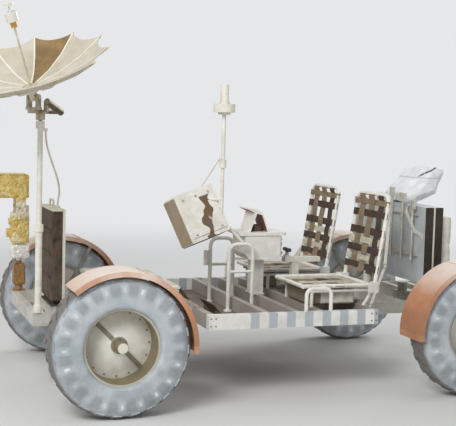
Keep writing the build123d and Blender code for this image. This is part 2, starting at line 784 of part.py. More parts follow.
def back_web():
    half = seat_w / 2 - 14 - seat_tube - 0.3
    back = pan_back - 23
    panel = span(-web_t / 2, web_t / 2, -half, half, 50, back_h - seat_tube - 5)
    panel = fillet(panel.edges().filter_by(Axis.X), 58)
    return Pos(back, seat_y, pan_z + 20) * Rot(0, -back_lean, 0) * panel


def seat_bag():
    bag = block(bag_x, seat_y, mid_deck + 0.3, bag_l, bag_w, bag_h)
    return chamfer(bag.edges().filter_by(Axis.Z), 30)


def strap(start, end, width, thickness):
    """Flat webbing from one point to another, its width across the rover."""
    run = Vector(*end) - Vector(*start)
    plane = Plane(start, x_dir=(0, 1, 0), z_dir=run)
    return extrude(plane * Rectangle(width, thickness), run.length)


# Lap and shoulder webbing, drawn tight from the back's top corner to the side rail
def belts():
    half = seat_w / 2
    lean = sin(radians(back_lean)) * back_h
    rise = cos(radians(back_lean)) * back_h
    top = (pan_back - 23 - lean - seat_tube - 6, seat_y + half - 46, pan_z + 16 + rise - 30)
    elbow = (pan_back - 64, seat_y + half + 32, pan_z + 122)
    foot = (-505, mid_w / 2 - mid_rail_w / 2, mid_deck + 0.3)
    body = strap(top, elbow, 28, 4) + strap(elbow, foot, 28, 4)
    body -= span(-700, -300, 0, mid_w, rail_z, mid_deck + 0.3)
    return both_sides(body)


def hand_controller():
    body = span(-330, -270, -60, 60, mid_deck, mid_deck + 8)
    body += span(-325, -275, -25, 25, mid_deck + 8, 740)
    body += span(-480, -220, -30, 30, 740, 772)
    body += span(-262, -228, -24, 24, 770, 786)
    body += rod((-245, 0, 780), (-245, 0, 822), 12)
    return body + rod((-245, -48, 822), (-245, 48, 822), 13)


# Aft pallet on a vertical hinge
def pallet_gate():
    """Shallow cabinet, open astern, with a shelf, two bays and a hinge tube."""
    x0 = pallet_x - pallet_d
    half = pallet_w / 2
    top = pallet_z + pallet_h
    wall = pallet_wall
    body = span(x0, pallet_x, -half, half, pallet_z, top)
    for y0, y1 in ((-half + wall, -150), (-150 + wall, 190), (190 + wall, half - wall)):
        body -= span(x0 - 1, pallet_x - wall, y0, y1, pallet_z + wall, top - wall)
    body += span(x0, pallet_x - wall, -half, half, pallet_z + 250, pallet_z + 250 + wall)
    x = pallet_x - pallet_d / 2
    body += rod((x, -end_rail_y, pallet_z), (x, -end_rail_y, pallet_z + 258), hinge_r + 9)
    body += span(x, pallet_x, -end_rail_y - 12, -end_rail_y + 12, pallet_z, pallet_z + 258)
    return body - rod((x, -end_rail_y, pallet_z - 1), (x, -end_rail_y, pallet_z + 256), hinge_r)


# Scoop, tongs and hammer clipped to the front of the cabinet
def hand_tools():
    top = pallet_z + pallet_h
    x = pallet_x + 20
    body = span(pallet_x, x, -110, 440, top - 60, top - 44)
    body += span(pallet_x, x, -110, 440, top - 330, top - 314)
    for y, length, head in ((-70, 420, 30), (110, 470, 22), (260, 440, 36), (400, 400, 26)):
        foot = top - 360
        body += rod((x + 9, y, foot), (x + 9, y, foot + length), 10)
        body += span(x, x + 18, y - head, y + head, foot + length - 60, foot + length)
    return body


# Sample bags hung across the open back of the cabinet
def sample_bags():
    x1 = pallet_x - pallet_d - 0.3
    half = pallet_w / 2
    low = pallet_z + 30
    bag = span(x1 - 96, x1, 205, half - 8, low, low + 430)
    bag = fillet(bag.edges().filter_by(Axis.Z).group_by(Axis.X)[0], 34)
    return both_sides(bag)


def pallet_posts():
    deck = rail_z + rail_h
    x = pallet_x - pallet_d / 2
    body = rod((x, -end_rail_y, deck), (x, -end_rail_y, pallet_z - 5), hinge_r + 8)
    body += rod((x, -end_rail_y, pallet_z - 10), (x, -end_rail_y, pallet_z + 255), hinge_r - 0.05)
    body += rod((x, end_rail_y, deck), (x, end_rail_y, pallet_z - 5), hinge_r + 8)
    return body


def rear_cover():
    """Folded padded cover that lies over the cabinet's top, leaning astern."""
    z = pallet_z + pallet_h + 0.3
    x = pallet_x - 6
    outline = Polyline((x, z), (x - 30, z + 60), (x - 205, z + 255), (x - 260, z + 275), (x - 345, z + 245),
                       (x - 352, z + 215), (x - 290, z + 60), (x - 130, z), (x, z))
    return Pos(0, 170, 0) * Rot(90, 0, 0) * extrude(make_face(outline), 340)


parts = {}
centre = centre_frame()
front = end_frame()
aft = mirror(front, about=Plane.YZ)
parts["centre_frame"] = centre
parts["floor_panels"] = joined(floor_panels(centre), foot_rests())
parts["forward_frame"] = front
parts["aft_frame"] = aft

ends = {"front": 1, "rear": -1}
sides = {"left": 1, "right": -1}
uprights = both_ends(both_sides(upright()))
arms = both_ends(both_sides(joined(suspension_arm(upper_arm_z), suspension_arm(lower_arm_z))))
arms = arms - front - aft - uprights
parts["uprights"] = uprights
parts["suspension_arms"] = arms
parts["dampers"] = both_ends(both_sides(damper())) - front - aft - arms

parts["steering_motors"] = both_ends(gearbox())

wheel_tyre = tyre()
wheel_hub = hub()
for end, e in ends.items():
    parts[f"sector_{end}"] = corner(sector(), e, 1)
    for side, s in sides.items():
        at_wheel = Pos(e * wheelbase / 2, track / 2, axle_z)
        parts[f"tyre_{end}_{side}"] = corner(at_wheel * wheel_tyre, 1, s)
        parts[f"hub_{end}_{side}"] = corner(at_wheel * wheel_hub, 1, s)
        post = Pos(wheelbase / 2, king_y, 0) * knuckle(s)
        if e > 0:
            arch = fender(fender_front, fender_back, fender_seam)
        else:
            arch = fender(rear_fender_front, rear_fender_back, fender_seam)
        arch = Pos(wheelbase / 2, 0, 0) * arch
        parts[f"fender_{end}_{side}"] = corner(arch, e, s)
        parts[f"knuckle_{end}_{side}"] = corner(post - arch, e, s)
        parts[f"tie_rod_{end}_{side}"] = corner(tie_rod(s), e, 1)

parts["deck_boxes"] = deck_boxes()
parts["lcru"] = lcru()
parts["tv_staff"] = tv_staff()
parts["tv_head"] = tv_head()
parts["tv_camera"] = tv_camera()
parts["hga_mast"] = hga_mast()
parts["hga_gimbal"] = gimbal()
ribs = dish_frame()
parts["dish_frame"] = ribs
parts["dish_mesh"] = dish_mesh() - ribs
parts["antenna_lead"] = antenna_lead()
parts["lga_staff"] = lga_staff()
parts["lga_antenna"] = lga_antenna()
parts["console"] = console()
parts["handholds"] = joined(handholds(), outer_handholds())
parts["map_case"] = map_case()
frames = both_sides(seat_frame() + seat_back_frame()) - centre
parts["seat_frames"] = frames
parts["back_webs"] = both_sides(back_web())
parts["seat_pan_left"] = seat_pan()
parts["seat_pan_right"] = mirror(seat_pan(), about=Plane.XZ)
parts["seat_web_left"] = seat_web()
parts["seat_web_right"] = mirror(seat_web(), about=Plane.XZ)
parts["seat_bags"] = both_sides(seat_bag())
parts["belts"] = belts() - frames
parts["hand_controller"] = hand_controller()
parts["pallet_posts"] = pallet_posts()
gate = pallet_gate()
parts["pallet_gate"] = gate
parts["hand_tools"] = hand_tools()
parts["sample_bags"] = sample_bags()
parts["rear_cover"] = rear_cover()

os.makedirs("parts", exist_ok=True)
for name, shape in parts.items():
    export_step(shape, f"parts/{name}.step")
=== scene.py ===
import bmesh
import bpy
import json
from math import atan2, cos, hypot, pi, radians, sin
from mathutils import Matrix, Vector

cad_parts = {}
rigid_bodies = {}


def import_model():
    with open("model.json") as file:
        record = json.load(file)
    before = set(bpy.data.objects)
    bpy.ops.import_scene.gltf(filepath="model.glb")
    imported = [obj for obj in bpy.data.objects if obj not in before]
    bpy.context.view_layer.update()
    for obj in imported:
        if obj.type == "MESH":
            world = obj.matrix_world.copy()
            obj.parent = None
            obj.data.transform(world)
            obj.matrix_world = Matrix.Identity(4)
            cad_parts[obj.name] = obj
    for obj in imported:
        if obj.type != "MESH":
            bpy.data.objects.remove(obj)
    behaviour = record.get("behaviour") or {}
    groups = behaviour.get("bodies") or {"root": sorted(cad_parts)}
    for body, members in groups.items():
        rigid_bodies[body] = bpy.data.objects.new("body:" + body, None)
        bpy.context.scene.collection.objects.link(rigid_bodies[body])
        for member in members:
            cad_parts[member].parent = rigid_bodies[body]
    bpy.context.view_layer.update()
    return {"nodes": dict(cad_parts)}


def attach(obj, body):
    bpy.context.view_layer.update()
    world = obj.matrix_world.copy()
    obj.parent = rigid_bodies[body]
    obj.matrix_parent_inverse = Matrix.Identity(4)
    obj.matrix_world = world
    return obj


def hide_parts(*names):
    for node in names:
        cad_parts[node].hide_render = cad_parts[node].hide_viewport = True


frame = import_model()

# Tyres. Zinc-coated piano wire is woven into an open hoop and clamped to the hub, and titanium
# chevrons are riveted across the tread. The bump stop's loops inside show through the mesh, with painted
# highlights.
axle_x, axle_z = 1.143, 0.409
tyre_places = {
    "front_left": (axle_x, 0.9145), "front_right": (axle_x, -0.9145),
    "rear_left": (-axle_x, 0.9145), "rear_right": (-axle_x, -0.9145)}
tread_r, bead_r, tyre_half, bump_stop_r = 0.4025, 0.218, 0.1145, 0.330
shoulder_round, bead_round = 0.078, 0.026
chevrons, columns, swept, chevron_half, chevron_thick = 24, 8, 0.149, 0.092, 0.006
wires_round, wires_across, loops_round = 78.0, 200.0, 20.0


def clear():
    """Back to object mode with nothing selected, so that the next operator meets only its own piece."""
    if bpy.context.object and bpy.context.object.mode != "OBJECT":
        bpy.ops.object.mode_set(mode="OBJECT")
    bpy.ops.object.select_all(action="DESELECT")


def edit_all():
    """Into edit mode with the whole piece selected."""
    bpy.ops.object.mode_set(mode="EDIT")
    bpy.ops.mesh.select_all(action="SELECT")


def pick(kind, test):
    """Select, in edit mode, the verts, edges or faces whose middle and normal pass a test."""
    mesh = bmesh.from_edit_mesh(bpy.context.object.data)
    bpy.ops.mesh.select_all(action="DESELECT")
    bpy.context.tool_settings.mesh_select_mode = [kind == "verts", kind == "edges", kind == "faces"]
    for item in getattr(mesh, kind):
        if kind == "verts":
            chosen = test(item.co, item.normal)
        elif kind == "edges":
            chosen = test((item.verts[0].co + item.verts[1].co) / 2, item.verts[1].co - item.verts[0].co)
        else:
            chosen = test(item.calc_center_median(), item.normal)
        if chosen:
            item.select_set(True)
    mesh.select_flush_mode()
    bmesh.update_edit_mesh(bpy.context.object.data)


def face_outward():
    """Every face of the piece turned to look outward, in edit mode."""
    edit_all()
    bpy.ops.mesh.normals_make_consistent(inside=False)


def settled(name, finish, angle=35):
    """The piece being made, at the origin with its place in its mesh, named, smoothed and finished."""
    piece = bpy.context.object
    clear()
    piece.select_set(True)
    bpy.context.view_layer.objects.active = piece
    bpy.ops.object.transform_apply()
    bpy.ops.object.shade_smooth_by_angle(angle=radians(angle))
    piece.name = piece.data.name = name
    piece.data.materials.clear()
    piece.data.materials.append(finish)
    return piece


def copied(piece, name, move):
    """A copy with its own mesh, carried by a matrix."""
    twin = piece.copy()
    twin.data = piece.data.copy()
    twin.name = twin.data.name = name
    bpy.context.scene.collection.objects.link(twin)
    twin.data.transform(move)
    if move.determinant() < 0:
        twin.data.flip_normals()
    return twin


def keep_places(piece, name):
    """The mesh's own places kept as an attribute, so that a pattern follows the piece where it is put."""
    kept = piece.data.attributes.new(name, "FLOAT_VECTOR", "POINT")
    for vertex in piece.data.vertices:
        kept.data[vertex.index].vector = vertex.co


def linear(code):
    """An sRGB hex colour as the linear values that a socket takes."""
    parts = [int(code[i:i + 2], 16) / 255 for i in (0, 2, 4)]
    return [c / 12.92 if c <= 0.04045 else ((c + 0.055) / 1.055) ** 2.4 for c in parts] + [1]


def add(finish, kind, values=None, **settings):
    """One node in a finish: its settings, and for its sockets a value or the node that feeds them."""
    tree = finish.node_tree
    node = tree.nodes.new("ShaderNode" + kind)
    for name, value in settings.items():
        setattr(node, name, value)
    for socket, value in (values or {}).items():
        if isinstance(value, bpy.types.Node):
            value = next(out for out in value.outputs if out.enabled)
        if isinstance(value, bpy.types.NodeSocket):
            tree.links.new(value, node.inputs[socket])
        else:
            node.inputs[socket].default_value = value
    return node


def axes(finish, output="Object"):
    """X, Y and Z of a point of a finish on the whole object, or of the way that it faces."""
    return add(finish, "SeparateXYZ", {0: add(finish, "TexCoord").outputs[output]}).outputs


def off(finish, value, middle=0.0):
    """How far a value is from a middle one, to either side."""
    past = add(finish, "Math", {0: value, 1: middle}, operation="SUBTRACT")
    return add(finish, "Math", {0: past}, operation="ABSOLUTE")


def reach(finish, a, b):
    """How far a point is from a centre, from its two steps away."""
    step = add(finish, "CombineXYZ", {"X": a, "Y": b})
    return add(finish, "VectorMath", {0: step}, operation="LENGTH").outputs["Value"]


def waves(finish, value, radians_each, kind="SINE"):
    """A value as waves, with so many radians to each unit of it."""
    angle = add(finish, "Math", {0: value, 1: radians_each}, operation="MULTIPLY")
    return add(finish, "Math", {0: angle}, operation=kind)


def where(finish, *edges, share=1.0):
    """A mask that is the share where each value is past its edge; an edge is value, start and end."""
    mask = share
    for value, start, end in edges:
        past = add(finish, "MapRange", {"Value": value, 1: start, 2: end})
        mask = add(finish, "Math", {0: past, 1: mask}, operation="MULTIPLY")
    return mask


def worn(name, pale, deep, cloud_mm=120, grain_mm=4, rough=0.6, metal=0.0, bump_mm=0.2, dust=0.35,
         dust_top=0.75):
    """A used finish: two tones clouded together, a fine grain, and grey dust that thins out with height."""
    made = bpy.data.materials.new(name)
    made.use_nodes = True
    made.node_tree.nodes.clear()
    place = add(made, "TexCoord").outputs["Object"]
    cloud = add(made, "TexNoise", {"Vector": place, "Scale": 1000 / cloud_mm, "Detail": 5, "Roughness": 0.6})
    spread = add(made, "MapRange", {"Value": cloud, 1: 0.35, 2: 0.65})
    tone = add(made, "Mix", {0: spread, 6: linear(pale), 7: linear(deep)}, data_type="RGBA")
    height = add(made, "SeparateXYZ", {0: place}).outputs["Z"]
    low = add(made, "MapRange", {"Value": height, 1: 0.25, 2: dust_top, 3: 1.0, 4: 0.25})
    patches = add(made, "TexNoise", {"Vector": place, "Scale": 14.0, "Detail": 6.0, "Roughness": 0.7})
    lying = add(made, "MapRange", {"Value": patches, 1: 0.42, 2: 0.62, 4: dust})
    thick = add(made, "Math", {0: low, 1: lying}, operation="MULTIPLY")
    dusty = add(made, "Mix", {0: thick, 6: tone, 7: linear("8b8680")}, data_type="RGBA")
    dusty.name = "dust"
    grain = add(made, "TexNoise", {"Vector": place, "Scale": 1000 / grain_mm, "Detail": 2.0})
    bump = add(made, "Bump", {"Height": grain, "Distance": bump_mm / 1000, "Strength": 1.0})
    bump.name = "bump"
    skin = add(made, "BsdfPrincipled", {"Base Color": dusty, "Metallic": metal, "Roughness": rough,
                                        "Normal": bump})
    skin.name = "skin"
    add(made, "OutputMaterial", {"Surface": skin.outputs[0]})
    return made


def over(finish, colour, *edges, share=1.0):
    """Another colour laid over a finish, under its dust, where every value is past its edge."""
    nodes = finish.node_tree.nodes
    before = nodes["dust"].inputs[6].links[0].from_socket
    mask = where(finish, *edges, share=share)
    laid = add(finish, "Mix", {0: mask, 6: before, 7: linear(colour)}, data_type="RGBA")
    finish.node_tree.links.new(next(out for out in laid.outputs if out.enabled), nodes["dust"].inputs[6])


def raised(finish, height, depth_mm):
    """A pattern's height added to a finish's bump, over its fine grain."""
    nodes = finish.node_tree.nodes
    relief = add(finish, "Bump", {"Height": height, "Distance": depth_mm / 1000, "Strength": 1.0,
                                  "Normal": nodes["bump"].outputs[0]})
    finish.node_tree.links.new(relief.outputs[0], nodes["skin"].inputs["Normal"])


# Zinc-coated wire: blue-grey and soft, with the weave drawn at 16 mm because its own 5 mm is too
# fine to show, and dull gaps between the wires. Where the tread meets the ground it is brown, with
# dust and painted shade.
wire = worn("woven_zinc_coated_wire", "d0d6da", "b0b9c0", cloud_mm=160, grain_mm=5, rough=0.62, metal=0.2,
            bump_mm=0.4, dust=0.3, dust_top=1.0)
about = add(wire, "Attribute", attribute_name="about_axle").outputs["Vector"]
wire_x, wire_y, wire_z = add(wire, "SeparateXYZ", {0: about}).outputs
round_it = add(wire, "Math", {0: wire_x, 1: wire_z}, operation="ARCTAN2")
radius = reach(wire, wire_x, wire_z)
aside = off(wire, wire_y)
across = add(wire, "Math", {0: aside, 1: radius}, operation="SUBTRACT")
along = add(wire, "Math", {0: round_it, 1: wires_round}, operation="MULTIPLY")
wires = []
for lean in (-wires_across, wires_across):
    slant = add(wire, "Math", {0: across, 1: lean, 2: along}, operation="MULTIPLY_ADD")
    wires.append(off(wire, add(wire, "Math", {0: slant}, operation="SINE")))
woven = add(wire, "Math", {0: wires[0], 1: wires[1]}, operation="MINIMUM")
over(wire, "7f868c", (woven, 0.55, 0.9), share=0.55)
raised(wire, add(wire, "Math", {0: 1.0, 1: woven}, operation="SUBTRACT"), 1.2)

# Seen through the mesh of each flank: painted shade between the bump stop's loops, and a painted
# highlight on the loops. Then dust and painted shade, in brown, over the tread.
beat = waves(wire, round_it, loops_round, "COSINE")
off_loop = off(wire, radius, bump_stop_r)
loop_highlight_noise = add(wire, "TexNoise", {"Vector": about, "Scale": 7.0, "Detail": 1.0})
loop_highlight_share = add(wire, "MapRange", {"Value": loop_highlight_noise, 1: 0.40, 2: 0.60, 3: 0.25, 4: 0.95})
on_flank = (aside, 0.090, 0.100)
over(wire, "757a7e", (off_loop, 0.05, 0.02), (beat, 0.5, -0.2), on_flank, share=0.45)
over(wire, "eceded", (beat, 0.78, 0.96), (loop_highlight_share, 0.0, 1.0), (off_loop, 0.021, 0.009), on_flank)
over(wire, "6a6158", (radius, 0.384, 0.398), share=0.85)

# Titanium sheet: brownish grey, dull and scuffed by the ground.
titanium = worn("scuffed_titanium_chevron", "99928a", "7a7168", cloud_mm=40, grain_mm=3, rough=0.5,
                metal=0.55, bump_mm=0.3, dust=0.5, dust_top=1.0)

clear()
bpy.ops.mesh.primitive_plane_add(size=1, rotation=(0, pi / 2, 0), location=(0, 0, (tread_r + bead_r) / 2))
section = bpy.context.object
section.scale = (tread_r - bead_r, 2 * tyre_half, 1)
bpy.ops.object.transform_apply()
bpy.ops.object.mode_set(mode="EDIT")
pick("verts", lambda at, normal: at.z > 0.3)
bpy.ops.mesh.bevel(offset=shoulder_round, segments=8, affect="VERTICES")
pick("verts", lambda at, normal: at.z < bead_r + 0.001)
bpy.ops.mesh.bevel(offset=bead_round, segments=3, affect="VERTICES")
bpy.ops.mesh.select_all(action="SELECT")
bpy.ops.mesh.delete(type="ONLY_FACE")
pick("edges", lambda at, run: at.z > tread_r - 0.001)
bpy.ops.mesh.subdivide(number_cuts=5)
pick("edges", lambda at, run: abs(at.y) > tyre_half - 0.001)
bpy.ops.mesh.subdivide(number_cuts=3)
rings = sorted({round(abs(v.co.y), 5) for v in bmesh.from_edit_mesh(section.data).verts})
for out in rings[1:]:
    lean = -swept * min(out / chevron_half, 1)
    pick("verts", lambda at, normal: abs(abs(at.y) - out) < 1e-4)
    bpy.ops.transform.rotate(value=lean, orient_axis="Y", center_override=(0, 0, 0))
bpy.ops.mesh.select_all(action="SELECT")
bpy.ops.mesh.spin(steps=chevrons * columns, angle=2 * pi, center=(0, 0, 0), axis=(0, 1, 0))
bpy.ops.mesh.select_all(action="SELECT")
bpy.ops.mesh.remove_doubles(threshold=0.0001)
face_outward()


def in_chevron(at, normal):
    """Is a face of the tread under a chevron? Its column is counted with the sweep taken out."""
    if abs(at.y) > chevron_half or hypot(at.x, at.z) < 0.36:
        return False
    turn = atan2(at.x, at.z) - swept * abs(at.y) / chevron_half
    return (turn * chevrons / (2 * pi)) % 1 < 0.5


pick("faces", in_chevron)
bpy.ops.mesh.extrude_region_shrink_fatten(TRANSFORM_OT_shrink_fatten={"value": chevron_thick})
bpy.ops.mesh.select_more()
tyre_mesh = bmesh.from_edit_mesh(section.data)
for face in tyre_mesh.faces:
    face.material_index = int(face.select)
bmesh.update_edit_mesh(section.data)
first_tyre = settled("tyre", wire)
first_tyre.data.materials.append(titanium)
keep_places(first_tyre, "about_axle")
for corner, (x, y) in tyre_places.items():
    tyre = copied(first_tyre, "woven_tyre_" + corner, Matrix.Translation((x, y, axle_z)))
    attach(tyre, "wheel_" + corner)
    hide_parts("tyre_" + corner)
bpy.data.objects.remove(first_tyre)

# Hubs. Aluminium spun into a deep drum with a shallow dish inside it; a rolled bead holds the wire,
# a ring of screws joins dish and drum, and the drive's cap is bolted on in the middle. A bar is
# screwed on across each dish.
drum_r, bead_r_in, bead_r_out, boss_r, cap_r = 0.2035, 0.2065, 0.211, 0.0475, 0.0285
dish_fall, slope_from = 0.060 / 0.157, 0.048
lathe_lines = 1600.0
spun = worn("spun_aluminium_hub", "f6f4ed", "e6e2d6", cloud_mm=200, grain_mm=2, rough=0.5, metal=0.05,
            bump_mm=0.1, dust=0.2, dust_top=0.6)


def from_axles(finish):
    """Steps of a point from the axle of its own end of the rover: away from the middle, and up."""
    x, _, z = axes(finish)
    past = add(finish, "Math", {0: off(finish, x), 1: axle_x}, operation="SUBTRACT")
    return past, add(finish, "Math", {0: z, 1: axle_z}, operation="SUBTRACT")


# Painted shade on the drum outside the dish; its bead; painted shade on the boss round the cap; and the cap.
past_axle, over_axle = from_axles(spun)
hub_r = reach(spun, past_axle, over_axle)
over(spun, "857a5f", (hub_r, drum_r, drum_r + 0.001))
over(spun, "c2bba6", (hub_r, bead_r_in, bead_r_out))
over(spun, "8f846c", (hub_r, boss_r + 0.0015, boss_r))
over(spun, "dedacb", (hub_r, cap_r + 0.001, cap_r))

# The bar across the dish, painted darker as shade, whose slant is mirrored from corner to corner.
hub_x, hub_y, _ = axes(spun)
end_sign = add(spun, "Math", {0: hub_x}, operation="SIGN")
side_sign = add(spun, "Math", {0: hub_y}, operation="SIGN")
hand = add(spun, "Math", {0: end_sign, 1: side_sign}, operation="MULTIPLY")
handed = add(spun, "Math", {0: past_axle, 1: hand}, operation="MULTIPLY")
off_bar = off(spun, handed, over_axle)
over(spun, "8c8675", (off_bar, 0.0192, 0.0178), (hub_r, slope_from, slope_from + 0.001),
     (hub_r, drum_r, drum_r - 0.001))
raised(spun, waves(spun, hub_r, lathe_lines), 0.08)

# Cadmium-plated steel: screws and pins, a soft yellowish grey.
plated = worn("cadmium_plated_screws", "a39f90", "7d786a", cloud_mm=20, grain_mm=1, rough=0.42, metal=0.8,
              dust=0.2)


def merged(name, pieces):
    """Like pieces on one body, joined into one object."""
    clear()
    for piece in pieces:
        piece.select_set(True)
    bpy.context.view_layer.objects.active = pieces[0]
    if len(pieces) > 1:
        bpy.ops.object.join()
    piece = bpy.context.object
    piece.name = piece.data.name = name
    return piece


def screws(name, places, axis, across, tall, finish):
    """Hexagon heads on washers, modelled once and copied; axis is the way that they face."""
    clear()
    bpy.ops.mesh.primitive_cylinder_add(vertices=16, radius=across * 0.72, depth=tall * 0.3,
                                        location=(0, 0, tall * 0.15))
    bpy.ops.object.mode_set(mode="EDIT")
    pick("faces", lambda at, normal: normal.z > 0.9)
    bpy.ops.mesh.inset(thickness=across * 0.2, depth=0)
    bpy.ops.mesh.extrude_region_move(TRANSFORM_OT_translate={"value": (0, 0, tall * 0.7)})
    bpy.ops.transform.resize(value=(0.9, 0.9, 1), center_override=(0, 0, tall))
    head = settled(name, finish)
    turn = Vector(axis).to_track_quat("Z", "Y").to_matrix().to_4x4()
    set_of = [copied(head, name, Matrix.Translation(place) @ turn) for place in places]
    bpy.data.objects.remove(head)
    return merged(name, set_of)


def dress(finish, *nodes):
    """A finish put on CAD pieces, in place of the frame's own."""
    for node in nodes:
        slots = frame["nodes"][node].data.materials
        slots.clear()
        slots.append(finish)


# Each ring of screws: how many, how far round the first one is, the ring's radius and how far out.
rings_of_screws = ((16, 0.0, 0.186, -0.0445), (6, 0.5, 0.0385, 0.018))
bar_screws, bar_out = (0.065, 0.155, -0.065, -0.155), 0.0155
for corner, (x, y) in tyre_places.items():
    side = 1 if y > 0 else -1
    dress(spun, "hub_" + corner)
    heads_at = []
    for count, first, r, out in rings_of_screws:
        for i in range(count):
            a = (i + first) * 2 * pi / count
            heads_at.append((x + r * cos(a), y + side * out, axle_z + r * sin(a)))
    for r in bar_screws:
        out = bar_out - dish_fall * (abs(r) - slope_from)
        heads_at.append((x + side * r * cos(pi / 4), y + side * out, axle_z + r * sin(pi / 4)))
    heads = screws("hub_screws_" + corner, heads_at, (0, side, 0), 0.0085, 0.006, plated)
    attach(heads, "wheel_" + corner)

# Chassis. Aluminium tube welded into three frames that fold for the journey, pale and dusty, and
# greyish brown with dust and painted shade between the side rails. The rails carry grey patches
# on white, and screws hold the hinges and the floor.
tubing = worn("welded_aluminium_tubing", "dad8d0", "bdb9ad", cloud_mm=180, grain_mm=3, rough=0.5, metal=0.2,
              bump_mm=0.15, dust=0.5, dust_top=0.6)
rail = worn("patched_aluminium_rail", "efeeea", "dcdad3", cloud_mm=180, grain_mm=3, rough=0.55, metal=0.05,
            bump_mm=0.15, dust=0.25, dust_top=0.7)

# The grey patches along the side rails, and dust and painted shade on the tubes between the rails.
patch_pitch, rail_inside = 0.118, 0.715
rail_x, rail_y, _ = axes(rail)
rail_out, rail_patches = off(rail, rail_y), waves(rail, rail_x, 2 * pi / patch_pitch)
over(rail, "a7b0b8", (rail_patches, -0.02, 0.12), (rail_out, rail_inside, rail_inside + 0.003), (rail_x, 0.305, 0.30),
     share=0.85)
over(rail, "7d6d5e", (rail_out, rail_inside + 0.001, rail_inside - 0.005), share=0.7)
dress(rail, "centre_frame")
dress(tubing, "forward_frame", "aft_frame", "uprights", "suspension_arms")

# Pressed floor: beaded aluminium sheet, dark greyish brown with dust and painted shade, scuffed by boots.
floor_sheet = worn("beaded_aluminium_floor", "85796a", "5a4f42", cloud_mm=140, grain_mm=2, rough=0.7,
                   metal=0.1, bump_mm=0.2, dust=0.35, dust_top=0.6)
bead_pitch = 0.048
beads = waves(floor_sheet, axes(floor_sheet)["Y"], 2 * pi / bead_pitch)
raised(floor_sheet, where(floor_sheet, (beads, 0.5, 0.95)), 2.5)
dress(floor_sheet, "floor_panels")

# Machined drives and steering gear: anodised aluminium and steel, dark grey where it turns.
drive_skin = worn("anodised_drive_housing", "a8a69c", "86847b", cloud_mm=60, grain_mm=2, rough=0.42,
                  metal=0.5, bump_mm=0.1, dust=0.45)
steel_bar = worn("turned_steel_rod", "8d8e8c", "6f706e", cloud_mm=40, grain_mm=1, rough=0.35, metal=0.85,
                 bump_mm=0.05, dust=0.3)
for corner in tyre_places:
    dress(drive_skin, "knuckle_" + corner)
    dress(steel_bar, "tie_rod_" + corner)
dress(drive_skin, "dampers", "steering_motors")
dress(steel_bar, "sector_front", "sector_rear")

mirror = Matrix.Scale(-1, 4, (0, 1, 0))
rail_screws = [(x, 0.76, z) for x in (-0.545, -0.515, 0.515, 0.545) for z in (0.462, 0.508)]
near = screws("rail_screws_left", rail_screws, (0, 1, 0), 0.007, 0.005, plated)
far = copied(near, "rail_screws_right", mirror)
pivots = [(end * (axle_x + dx), 0.4493, z)
          for end in (1, -1) for dx in (-0.15, 0.15) for z in (0.375, 0.400, 0.500, 0.528)]
posts_left = screws("pivot_screws_left", pivots, (0, 1, 0), 0.006, 0.005, plated)
posts_right = copied(posts_left, "pivot_screws_right", mirror)
hinge_pins = [(end * 0.548, y, 0.548) for end in (1, -1) for y in (-0.48, -0.36, 0.36, 0.48)]
pins = screws("hinge_pin_heads", hinge_pins, (0, 0, 1), 0.006, 0.004, plated)
for piece in (near, far, posts_left, posts_right, pins):
    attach(piece, "chassis")

# Fenders. Glass cloth laid up in resin, peach orange with a painted highlight over the crown and
# painted shade on the browner trailing strip; the extension laps over the fixed arch at a row of rivets.
fender_skin = worn("glass_fibre_fender", "cb9069", "b37a55", cloud_mm=160, grain_mm=5, rough=0.6,
                   bump_mm=0.35, dust=0.3, dust_top=0.8)
fender_at = add(fender_skin, "TexCoord").outputs["Object"]
past_axle, over_axle = from_axles(fender_skin)
arch_turn = add(fender_skin, "Math", {0: over_axle, 1: past_axle}, operation="ARCTAN2")
past_crown = add(fender_skin, "Math", {0: arch_turn, 1: radians(95)}, operation="SUBTRACT")

# A painted highlight over the crown and on what faces up, and painted shade on the trailing strip.
crown_highlight_noise = add(fender_skin, "TexNoise", {"Vector": fender_at, "Scale": 9.0, "Detail": 4.0})
crown_highlight_share = add(fender_skin, "MapRange", {"Value": crown_highlight_noise, 1: 0.3, 2: 0.6, 3: 0.45, 4: 1.0})
over(fender_skin, "e8d3c2", (off(fender_skin, past_crown), 0.95, 0.2), (crown_highlight_share, 0.0, 1.0), share=0.9)
over(fender_skin, "efe3d8", (axes(fender_skin, "Normal")["Z"], 0.55, 0.95), share=0.8)
over(fender_skin, "a06c49", (past_crown, 0.95, 1.25), share=0.6)
rivets_turn, rivets_r, rivets_in, rivets_run = radians(107), 0.436, -0.125, 0.236
for corner, (x, y) in tyre_places.items():
    dress(fender_skin, "fender_" + corner)
    end, side = (1 if x > 0 else -1), (1 if y > 0 else -1)
    fore, up = end * cos(rivets_turn), sin(rivets_turn)
    row = [(x + rivets_r * fore, y + side * (rivets_in + rivets_run * i / 8), axle_z + rivets_r * up)
           for i in range(9)]
    rivets = screws("fender_rivets_" + corner, row, (fore, 0, up), 0.0055, 0.003, plated)
    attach(rivets, "knuckle_" + corner + "_body")

# Seats. Aluminium tube frames, painted white where the riders grip them, carry backs and pans of
# nylon webbing, laced over and under by hand: dark brown, tan and cream straps, sewn round the tubes.
white_tube = worn("white_painted_tube", "efede6", "dddad0", cloud_mm=90, grain_mm=3, rough=0.5, bump_mm=0.1,
                  dust=0.25, dust_top=0.8)
dress(white_tube, "seat_frames", "seat_pan_left", "seat_pan_right", "handholds", "pallet_posts")
web_thick, web_half = 0.0018, 0.2067


def nylon(name, pale, deep):
    """Woven nylon: soft and matt, with its finer ribs drawn at 5 mm along each way that it may run."""
    made = worn(name, pale, deep, cloud_mm=35, grain_mm=2, rough=0.85, bump_mm=0.2, dust=0.25, dust_top=1.1)
    ribs = [waves(made, along, 2 * pi / 0.005) for along in axes(made)]
    two = add(made, "Math", {0: ribs[0], 1: ribs[1]}, operation="ADD")
    raised(made, add(made, "Math", {0: two, 1: ribs[2]}, operation="ADD"), 0.35)
    return made


